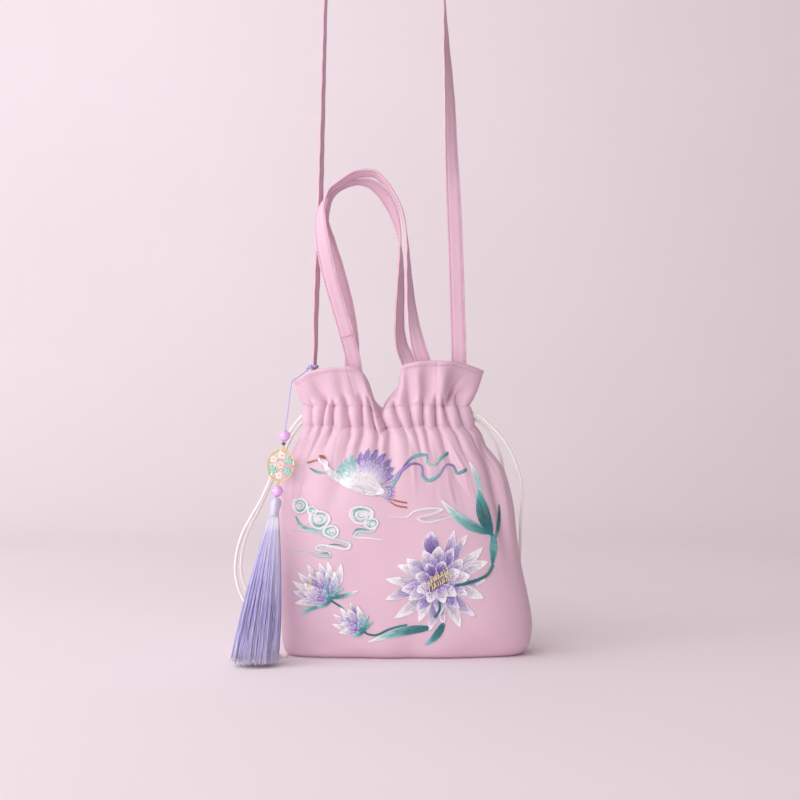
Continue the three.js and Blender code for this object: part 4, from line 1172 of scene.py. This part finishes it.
def tubes(name, stacks, tones=None):
    """One joined mesh of many closed tubes, each a stack of rings, with a tone for each tube."""
    points, faces, shades, base = [], [], [], 0
    for number, rings in enumerate(stacks):
        count, sides = rings.shape[:2]
        index = base + np.arange(count * sides).reshape(count, sides)
        low, high = index[:-1], index[1:]
        quads = np.stack([low, np.roll(low, -1, 1), np.roll(high, -1, 1), high], -1).reshape(-1, 4)
        faces += quads.tolist() + [index[0, ::-1].tolist(), index[-1].tolist()]
        points.append(rings.reshape(-1, 3))
        shades.append(np.full(count * sides, 1.0 if tones is None else tones[number]))
        base += count * sides
    mesh = bpy.data.meshes.new(name)
    mesh.from_pydata(np.concatenate(points).tolist(), [], faces)
    mesh.polygons.foreach_set("use_smooth", [True] * len(mesh.polygons))
    if tones is not None:
        mesh.attributes.new("tone", "FLOAT", "POINT").data.foreach_set("value", np.concatenate(shades))
    mesh.update()
    piece = bpy.data.objects.new(name, mesh)
    bpy.context.scene.collection.objects.link(piece)
    return piece


def cord_paint(wire):
    place = wire.node("TexCoord", output="Object")
    fluff = wire.node("TexNoise", None, {"Vector": place, "Scale": 2400.0, "Detail": 3.0}, output="Fac")
    tone = wire.node("TexNoise", None, {"Vector": place, "Scale": 160.0}, output="Fac") * 0.5 + fluff * 0.5
    relief = wire.node("Bump", None, {"Height": fluff, "Strength": 0.35, "Distance": 0.0003})
    return {
        "Base Color": tone.mix(srgb(235, 228, 222), srgb(255, 252, 250)),
        "Roughness": 0.62 + fluff * 0.2,
        "Normal": relief,
    }


white_cord = finish("white_cord", cord_paint, Sheen_Weight=0.4, Subsurface_Weight=0.15,
                    Subsurface_Radius=(0.003, 0.0025, 0.0025), Specular_IOR_Level=0.3)


def trefoil(middle, size, thick, steps=72):
    """The lump of an overhand knot: a cord that passes over itself three times."""
    t = np.linspace(0, 2 * math.pi, steps)
    loop = np.stack([np.sin(t) + 2 * np.sin(2 * t), 1.1 * np.sin(3 * t), np.cos(t) - 2 * np.cos(2 * t)], -1)
    return swept(np.asarray(middle) + loop * size, thick, 14, 3, 0.16, 5.0)


def make_drawstring(side, routes, knot_at, tails):
    knot = tubes(
        "drawstring_knot_" + side,
        [placed(trefoil(knot_at, 0.76, 1.15))]
        + [placed(swept(rounded(tail, 14), 1.1, 14, 3, 0.16, 5.0)) for tail in tails],
    )
    knot.data.materials.append(white_cord)
    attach(knot, "root")
    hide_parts("knot_" + side)
    for layer, route in routes.items():
        line = rounded(route, 190)
        strand = tubes(
            "drawstring_cord_%s_%s" % (side, layer),
            [placed(swept(line, cord_thick / 2 * 1.04, 18, 3, 0.17, cord_pitch))],
        )
        strand.data.materials.append(white_cord)
        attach(strand, "root")
        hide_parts("drawstring_%s_%s" % (side, layer))


make_drawstring(
    "left",
    {"front": left_front_route, "back": left_back_route},
    (-105.8, -20.4, 4.9),
    (
        ((-104.5, -20.5, 3.4), (-101.5, -21.5, 1.9), (-98.2, -22.6, 1.3), (-95, -24.2, 1.25)),
        ((-105.5, -22.5, 3.2), (-104.8, -25.5, 1.8), (-103.2, -28.5, 1.3), (-100.6, -31, 1.25)),
    ),
)
make_drawstring(
    "right",
    {"front": right_front_route, "back": right_back_route},
    (91.8, 49.6, 12),
    (
        ((92.3, 50, 9), (93, 50.6, 6.4), (94.6, 51.2, 4), (96.8, 51.8, 2.2)),
        ((91.2, 50, 9), (90.4, 50.4, 6), (88.6, 50.8, 3.6), (86.4, 51.4, 2)),
    ),
)

# The pendant: a waxed lilac thread tied round the foot of the strap carries a glass bead, a tiny dark one, an
# oval gilt ornament, a second glass bead and a silk tassel, all on one line that leans on the pouch.
thread_thick = 1.3
pendant_top, pendant_foot = np.array([-92.6, -11, 232]), np.array([-119, -62, 1.4])
pendant_down = (pendant_foot - pendant_top) / np.linalg.norm(pendant_foot - pendant_top)
pendant_turn = np.array(Vector((0, -1, 0)).rotation_difference(Vector(pendant_down)).to_matrix())
thread_route = ((-76.8, -8.2, 246), (-81, -7.6, 242), (-86.4, -7, 237.8), (-90.8, -8, 234.8))
bead_wide, spacer_wide = 9.8, 3.2
bead_upper_at, spacer_at, medallion_at, bead_lower_at, cap_at, skirt_at = 46, 52.9, 71.6, 93.6, 99, 115
medallion_wide, medallion_tall, medallion_rim, medallion_reach = 23, 28.6, 1.5, 16.7


def on_pendant(points, distance):
    """Points drawn with y up the pendant's line and z to the front, at a distance down that line."""
    return np.asarray(points, float) @ pendant_turn.T + pendant_top + pendant_down * distance


def thread_paint(wire):
    place = wire.node("TexCoord", output="Object")
    fine = wire.node("TexNoise", None, {"Vector": place, "Scale": 1800.0, "Detail": 2.0}, output="Fac")
    relief = wire.node("Bump", None, {"Height": fine, "Strength": 0.25, "Distance": 0.0002})
    return {
        "Base Color": fine.mix(srgb(176, 166, 220), srgb(214, 207, 242)),
        "Roughness": 0.36 + fine * 0.2,
        "Normal": relief,
    }


lilac_thread = finish("lilac_thread", thread_paint, Sheen_Weight=0.2)
pendant_end = on_pendant((0, 0, 0), medallion_at - medallion_reach - 0.3)
drop = rounded((*thread_route, pendant_top, on_pendant((0, 0, 0), bead_upper_at / 2), pendant_end), 120)
around = np.linspace(0, 2 * math.pi, 60)
wrap = []
for lift, lean in ((0.75, 0.25), (-0.75, -0.25)):
    turn_x, turn_y = power(np.cos(around), 0.5), power(np.sin(around), 0.5)
    wrap.append(
        np.stack(
            [-74.2 + 3.7 * turn_x, 7.8 * turn_y, 246.6 + lift + lean * turn_y - 0.3 * turn_x], -1
        )
    )
upper_thread = tubes(
    "pendant_thread_lilac",
    [placed(swept(line, thread_thick / 2, 12, 2, 0.22, 3.2)) for line in (drop, *wrap)]
    + [placed(trefoil(thread_route[0], 0.52, 0.62)), placed(trefoil(thread_route[0] + np.array([-2, 0, -1.8]), 0.4, 0.6))],
)
lower_ends = (medallion_at + medallion_reach + 0.3, cap_at + 1.2)
lower_line = np.linspace(*(on_pendant((0, 0, 0), d) for d in lower_ends), 30)
lower_thread = tubes("tassel_thread_lilac", [placed(swept(lower_line, thread_thick / 2, 12, 2, 0.22, 3.2))])
for piece, node in ((upper_thread, "pendant_thread"), (lower_thread, "tassel_thread")):
    piece.data.materials.append(lilac_thread)
    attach(piece, "root")
    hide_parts(node)


def lathe(profile, sides, groove=None):
    """Rings round the pendant's line through (radius, height) pairs, from the foot up."""
    turn = np.linspace(0, 2 * math.pi, sides, endpoint=False)
    profile = np.asarray(profile, float)
    radius = profile[:, :1] * (1 if groove is None else groove(turn[None], profile[:, 1:]))
    return np.stack([radius * np.cos(turn), profile[:, 1:] + 0 * turn, -radius * np.sin(turn)], -1)


def make_bead(name, node, wide, distance, material):
    bore = thread_thick / 2 + 0.3
    half = math.acos(bore / (wide / 2))
    profile = [(wide / 2 * math.cos(a), wide / 2 * math.sin(a)) for a in np.linspace(-half, half, 40)]
    profile += [(bore * 0.98, wide / 2 * math.sin(a)) for a in np.linspace(half, -half, 8)[1:-1]]
    piece = volume_sign(grid_mesh(name, placed(on_pendant(lathe(profile, 56), distance)), closed_rows=True))
    piece.data.materials.append(material)
    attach(piece, "root")
    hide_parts(node)


# Painted light and shade: the colour runs from the first colour where the glass faces the viewer to the second towards
# its rim, with soft random clouds.
def glass_paint(light, dark):
    def paint(wire):
        place = wire.node("TexCoord", output="Object")
        cloud = wire.node("TexNoise", None, {"Vector": place, "Scale": 210.0, "Detail": 2.0}, output="Fac")
        edge = wire.node("LayerWeight", None, {"Blend": 0.35}, output="Facing")
        return {
            "Base Color": (edge * 0.7 + cloud * 0.3).mix(light, dark),
            "Roughness": 0.06 + cloud * 0.05,
        }

    return paint


# The glass beads are painted lighter where they face the viewer and darker towards their rims.
bead_glass = finish(
    "lilac_glass",
    glass_paint(srgb(250, 206, 253), srgb(212, 140, 228)),
    Subsurface_Weight=0.55,
    Subsurface_Radius=(0.004, 0.002, 0.004),
    Coat_Weight=1.0,
    Coat_Roughness=0.03,
)
dark_glass = finish("dark_glass", glass_paint(srgb(92, 70, 130), srgb(42, 28, 66)), Coat_Weight=1.0)
make_bead("glass_bead_upper", "bead_upper", bead_wide, bead_upper_at, bead_glass)
make_bead("glass_bead_lower", "bead_lower", bead_wide, bead_lower_at, bead_glass)
make_bead("glass_bead_spacer", "bead_spacer", spacer_wide, spacer_at, dark_glass)

# The ornament: pale gilt wire bent into an oval and soldered to wire flowers, whose petals hold enamel.
flowers = table(
    "x y size glaze",
    (0, 0.4, 4.7, 2),
    (0.4, 8.5, 4.3, 1),
    (6.5, 4.6, 4.1, 0),
    (6.3, -4.6, 4.3, 0),
    (-0.3, -8.6, 4.3, 1),
    (-6.5, -4.2, 4.2, 0),
    (-6.3, 4.8, 4.2, 1),
)
# Each glaze: the colour painted where the enamel faces the viewer, the darker one painted towards its rim, and how far
# it fills a petal.
glazes = {
    "turquoise": (srgb(70, 208, 220), srgb(30, 176, 196), 0.74),
    "pearl": (srgb(255, 246, 248), srgb(244, 228, 236), 0.84),
    "lilac": (srgb(250, 220, 238), srgb(236, 196, 220), 0.84),
}
oval, eye = np.linspace(0, 2 * math.pi, 97), np.linspace(0, 2 * math.pi, 37)


def oval_line(inset, wave=0.0):
    ripple = wave * np.cos(36 * oval)
    return np.stack(
        [
            (medallion_wide / 2 - inset + ripple) * np.cos(oval),
            (medallion_tall / 2 - inset + ripple) * np.sin(oval),
            0 * oval,
        ],
        -1,
    )


def petal_line(x, y, size, steps=81, height=0.0):
    turn = np.linspace(0, 2 * math.pi, steps)
    reach = size * (0.8 + 0.2 * np.abs(np.cos(2.5 * turn)) ** 0.6 * 1.0)
    return np.stack([x + reach * np.sin(turn), y + reach * np.cos(turn), height + 0 * turn], -1)


gilt_lines = [(oval_line(0.62), 0.42), (oval_line(0.3, 0.14) + [0, 0, 0.4], 0.22), (oval_line(1.45, 0.1), 0.2)]
for x, y, size in zip(flowers["x"], flowers["y"], flowers["size"]):
    gilt_lines.append((np.array([x, y, 0.55]) + np.stack([0.55 * np.cos(eye), 0.55 * np.sin(eye), 0 * eye], -1), 0.24))
    for k in range(5):
        a = 2 * math.pi * k / 5
        out, side = np.array([math.sin(a), math.cos(a), 0]), np.array([math.cos(a), -math.sin(a), 0])
        loop = np.outer(0.55 + 0.45 * np.cos(eye), out) * size + np.outer(0.27 * np.sin(eye), side) * size
        gilt_lines.append((loop + [x, y, 0.28], 0.23))
for end in (-1, 1):
    gilt_lines.append(
        (
            np.stack(
                [1.1 * np.cos(eye), end * (medallion_tall / 2 + 0.85) + 1.1 * np.sin(eye), 0 * eye], -1
            ),
            0.4,
        )
    )
gilt = tubes(
    "ornament_gilt", [placed(on_pendant(swept(line, size, 8), medallion_at)) for line, size in gilt_lines]
)


def gilt_paint(wire):
    place = wire.node("TexCoord", output="Object")
    worn = wire.node("TexNoise", None, {"Vector": place, "Scale": 420.0, "Detail": 3.0}, output="Fac")
    return {
        "Base Color": worn.mix(srgb(196, 172, 108), srgb(236, 218, 160)),
        "Roughness": 0.26 + worn * 0.18,
    }


gilt.data.materials.append(finish("pale_gilt", gilt_paint, Metallic=0.85))
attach(gilt, "root")
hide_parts("medallion")


def make_enamel(number, name):
    light, dark, fill = glazes[name]
    petals = []
    for x, y, size, glaze in zip(*(flowers[key] for key in ("x", "y", "size", "glaze"))):
        if int(glaze) != number:
            continue
        outline = petal_line(x, y, size * fill, 61)[:-1]
        middle = np.array([x, y, 0])
        rings = [
            middle + (outline - middle) * share + [0, 0, height]
            for share, height in ((0.98, -0.35), (1, 0.0), (0.93, 0.32), (0.7, 0.5), (0.35, 0.42), (0.1, 0.36))
        ]
        petals.append(placed(on_pendant(np.stack(rings), medallion_at)))
    piece = tubes("ornament_enamel_" + name, petals)
    piece.data.materials.append(
        finish("enamel_" + name, glass_paint(light, dark), Coat_Weight=0.8, Alpha=1.0 if name == "turquoise" else 0.7)
    )
    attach(piece, "root")


for number, name in enumerate(glazes):
    make_enamel(number, name)

# The tassel: a hank of glossy lilac silk folded over the thread, bound below its head, and cut level. The
# binding makes the cap, the turns of thread lie side by side, and the strands fall in soft locks.
cap_tall, cap_wide = 16.0, 10.0
cap = table(
    "down wide",
    (0, 0.1), (0.04, 0.54), (0.16, 0.88), (0.32, 1), (0.46, 0.96), (0.62, 0.82), (0.78, 0.78), (1, 0.84),
)
skirt = table(
    "down wide",
    (0.4, 8.2), (6, 10.6), (20, 15.5), (38, 21.5), (60, 28), (84, 34), (106, 37.6), (121.5, 39),
)
skirt_flat = 0.82
wind = 0.55
downs = np.linspace(1, 0, 150)
bound = 1 - 0.022 * (0.5 - 0.5 * np.cos(2 * math.pi * downs * cap_tall / wind)) * smooth((downs - 0.35) / 0.1)
profile = np.stack([read(cap, "down", "wide", downs) * cap_wide / 2 * bound, -downs * cap_tall], -1)
folded = lambda turn, up: 1 - 0.03 * np.abs(np.cos(18 * turn)) * smooth((up + cap_tall * 0.42) / 2)
binding = volume_sign(grid_mesh("tassel_binding", placed(on_pendant(lathe(profile, 72, folded), cap_at))))
silk_dice = np.random.RandomState(5)
level = Vector((0, 0, -1)).rotation_difference(Vector(pendant_down))


def silk_paint(wire):
    place = wire.node("TexCoord", output="Object")
    tone = wire.node("Attribute", {"attribute_name": "tone"}, output="Fac")
    height = wire.node("SeparateXYZ", None, {0: place}, output="Z")
    down = wire.node(
        "MapRange", None, {0: height, 1: placed((0, 0, 0))[2], 2: placed((0, 0, 122))[2], 3: 1.0, 4: 0.0}
    )
    fine = wire.node("TexNoise", None, {"Vector": place, "Scale": 260.0}, output="Fac")
    shade = wire.node(
        # Painted highlight and painted light: the ramp paints the strands near white just under the cap, lilac lower
        # down, and lighter again at the tips, where the ground shades them.
        "ValToRGB",
        {"stops": ((0.0, srgb(255, 252, 255)), (0.14, srgb(245, 241, 254)), (0.4, srgb(233, 228, 255)),
                   (0.9, srgb(226, 220, 255)), (1.0, srgb(240, 236, 255)))},
        {"Fac": down},
    )
    # pale lifts the colour further: a painted highlight over the top of the skirt, and painted light over its lowest
    # part, against the ground's shade.
    pale = wire.node("MapRange", None, {0: down, 1: 0.0, 2: 0.13, 3: 0.5, 4: 0.0})
    pale = pale + wire.node("MapRange", None, {0: down, 1: 0.72, 2: 1.0, 3: 0.0, 4: 0.8})
    deep = shade.node("Mix", {"data_type": "RGBA", "blend_type": "MULTIPLY"},
                      {0: 0.9, 6: shade, 7: (tone * 0.9 + fine * 0.1 + pale).mix(srgb(150, 140, 210), srgb(255, 254, 255))},
                      output=2)
    return {"Base Color": deep, "Roughness": 0.3 + fine * 0.12}


silk = finish("tassel_silk", silk_paint, Sheen_Weight=0.3, Specular_IOR_Level=0.6)
silk_head = finish(
    "tassel_head_silk",
    lambda wire: {
        "Base Color": wire.node(
            "TexNoise", None, {"Vector": wire.node("TexCoord", output="Object"), "Scale": 300.0}, output="Fac"
        ).mix(srgb(190, 182, 218), srgb(226, 220, 242)),
        "Roughness": wire.node("TexNoise", None, {"Scale": 500.0}, output="Fac") * 0.1 + 0.24,
    },
    Specular_IOR_Level=1.0,
    Coat_Weight=0.5,
    Coat_Roughness=0.15,
)
binding.data.materials.append(silk_head)
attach(binding, "root")
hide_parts("tassel_cap")


def skirt_place(down, angle, reach):
    """A point of the skirt: down its line, round it, and out as a share of its half width."""
    share = np.sqrt(np.clip(down / skirt["down"][-1], 0, 1))
    half = read(skirt, "down", "wide", down) / 2 * reach
    flat_ring = np.stack([half * np.cos(angle), half * skirt_flat * np.sin(angle), 0 * half], -1)
    tilted = flat_ring @ np.array(level.to_matrix()).T
    blend = share[..., None]
    return tilted * (1 - blend) + flat_ring * blend + pendant_top + pendant_down * (skirt_at + down[..., None])


strand_count, strand_steps = 2300, 12
strand_share = np.linspace(0, 1, strand_steps)
strands, strand_tones_and_shade = [], []
for number in range(strand_count):
    home = silk_dice.uniform(0, 2 * math.pi)
    inside = 1 - 0.42 * silk_dice.uniform() ** 1.5
    lock = math.sin(23 * home + 1) + math.sin(41 * home + 2) + 0.8 * math.sin(67 * home + 4)
    full = skirt["down"][-1] - silk_dice.uniform(0, 1) ** 2.2 * 10 - 0.6 - 1.6 * (1 + math.sin(31 * home))
    down = 0.2 + strand_share * full
    pull = 0.1 * math.sin(9 * home + 0.7) + 0.07 * math.sin(17 * home + 2) + 0.05 * math.sin(31 * home)
    sway = silk_dice.uniform(-0.09, 0.09) * np.sin(strand_share * silk_dice.uniform(2, 7) + silk_dice.uniform(0, 6))
    angle = home + pull * np.sin(strand_share * 2.4) * 0.6 + sway * (0.25 + strand_share)
    groove = 1 - 0.05 * strand_share * (1 + math.sin(9 * home + 2.2) + 0.5 * math.sin(17 * home + 3.5))
    stray = 1 + silk_dice.uniform(-0.02, 0.13 if silk_dice.uniform() > 0.93 else 0.03) * strand_share**2
    line = skirt_place(down, angle, inside * groove * stray)
    line[:, 2] = np.maximum(line[:, 2], 0.7 + 1.6 * silk_dice.uniform())
    outermost = inside > 0.9
    strands.append(placed(swept(line, (0.32 if outermost else 0.25) * (1 - 0.4 * strand_share), 3)))
    # Strands set deeper inside the skirt get a darker tone: painted shade among the strands. The rest of the tone
    # differs at random and with the locks.
    tone = silk_dice.uniform(0, 1) ** 0.8 * (0.45 + 0.55 * (inside - 0.58) / 0.42) + 0.16 * lock
    strand_tones_and_shade.append(min(max(tone, 0.0), 1.15))
tassel = tubes("tassel_strands", strands, strand_tones_and_shade)
tassel.data.materials.append(silk)
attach(tassel, "root")
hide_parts("tassel_skirt")

# Camera, level and in front, at the photograph's distance and framing.
photo_distance, photo_height, photo_wide = 1.25, 0.2176, 0.688
camera_data = bpy.data.cameras.new("camera")
camera_data.sensor_width = 36.0
camera_data.lens = 36.0 * photo_distance / photo_wide
camera = bpy.data.objects.new("camera", camera_data)
camera.location = placed((0, -photo_distance / mm, photo_height / mm))
camera.rotation_euler = (math.radians(90), 0, 0)
bpy.context.scene.collection.objects.link(camera)
bpy.context.scene.camera = camera

# Seamless pale studio sweep: a floor that curves up into a wall.
ground = placed((0, 0, 0))[2]
sweep_wide, sweep_front, sweep_bend, wall_back, wall_tall = 4.0, -2.2, 0.9, 1.9, 3.2
sweep = [(sweep_front, 0.0), (wall_back - sweep_bend, 0.0)]
for i in range(1, 17):
    a = math.pi / 2 * i / 16
    sweep.append((wall_back - sweep_bend + sweep_bend * math.sin(a), sweep_bend * (1 - math.cos(a))))
sweep.append((wall_back, wall_tall))
mesh = bpy.data.meshes.new("studio_sweep")
verts = [(x, y, ground + z) for y, z in sweep for x in (-sweep_wide, sweep_wide)]
mesh.from_pydata(verts, [], [(2 * i, 2 * i + 1, 2 * i + 3, 2 * i + 2) for i in range(len(sweep) - 1)])
mesh.polygons.foreach_set("use_smooth", [True] * len(mesh.polygons))
studio = bpy.data.objects.new("studio_sweep", mesh)
bpy.context.scene.collection.objects.link(studio)


def sweep_paint(wire):
    place = wire.node("TexCoord", output="Object")
    grain = wire.node("TexNoise", None, {"Vector": place, "Scale": 3.0, "Detail": 2.0}, output="Fac")
    return {"Base Color": grain.mix(srgb(244, 234, 238), srgb(248, 239, 243))}


studio.data.materials.append(finish("studio_paper", sweep_paint, Roughness=0.9, Specular_IOR_Level=0.1))


def area_light(name, place, aim, size, power_watts, colour):
    data = bpy.data.lights.new(name, "AREA")
    data.shape = "RECTANGLE"
    data.size, data.size_y = size
    data.energy = power_watts
    data.color = colour
    lamp = bpy.data.objects.new(name, data)
    lamp.location = placed(np.array(place) / mm)
    lamp.rotation_euler = (Vector(placed(np.array(aim) / mm)) - lamp.location).to_track_quat("-Z", "Y").to_euler()
    bpy.context.scene.collection.objects.link(lamp)


area_light("key", (-1.45, -2.05, 1.35), (0.0, 0.0, 0.25), (3.2, 2.4), 55, (1.0, 0.985, 1.0))
area_light("fill", (-0.6, -2.6, 0.5), (-0.05, 0.0, 0.15), (1.4, 1.0), 7, (1.0, 0.985, 1.0))
area_light("side", (-1.6, -0.5, 0.5), (-0.1, 0.0, 0.14), (0.8, 0.7), 6, (1.0, 0.98, 1.0))
area_light("top", (-0.5, -0.2, 2.6), (0.0, 0.1, 0.0), (2.5, 2.0), 7, (1.0, 0.98, 1.0))
area_light("wall", (-1.4, 0.3, 2.4), (-0.6, 1.9, 1.1), (1.6, 1.6), 14, (1.0, 0.98, 1.0))
world = bpy.data.worlds.new("studio")
world.use_nodes = True
world.node_tree.nodes["Background"].inputs["Color"].default_value = srgb(246, 234, 234)
world.node_tree.nodes["Background"].inputs["Strength"].default_value = 0.28
bpy.context.scene.world = world
bpy.context.scene.view_settings.view_transform = "Standard"
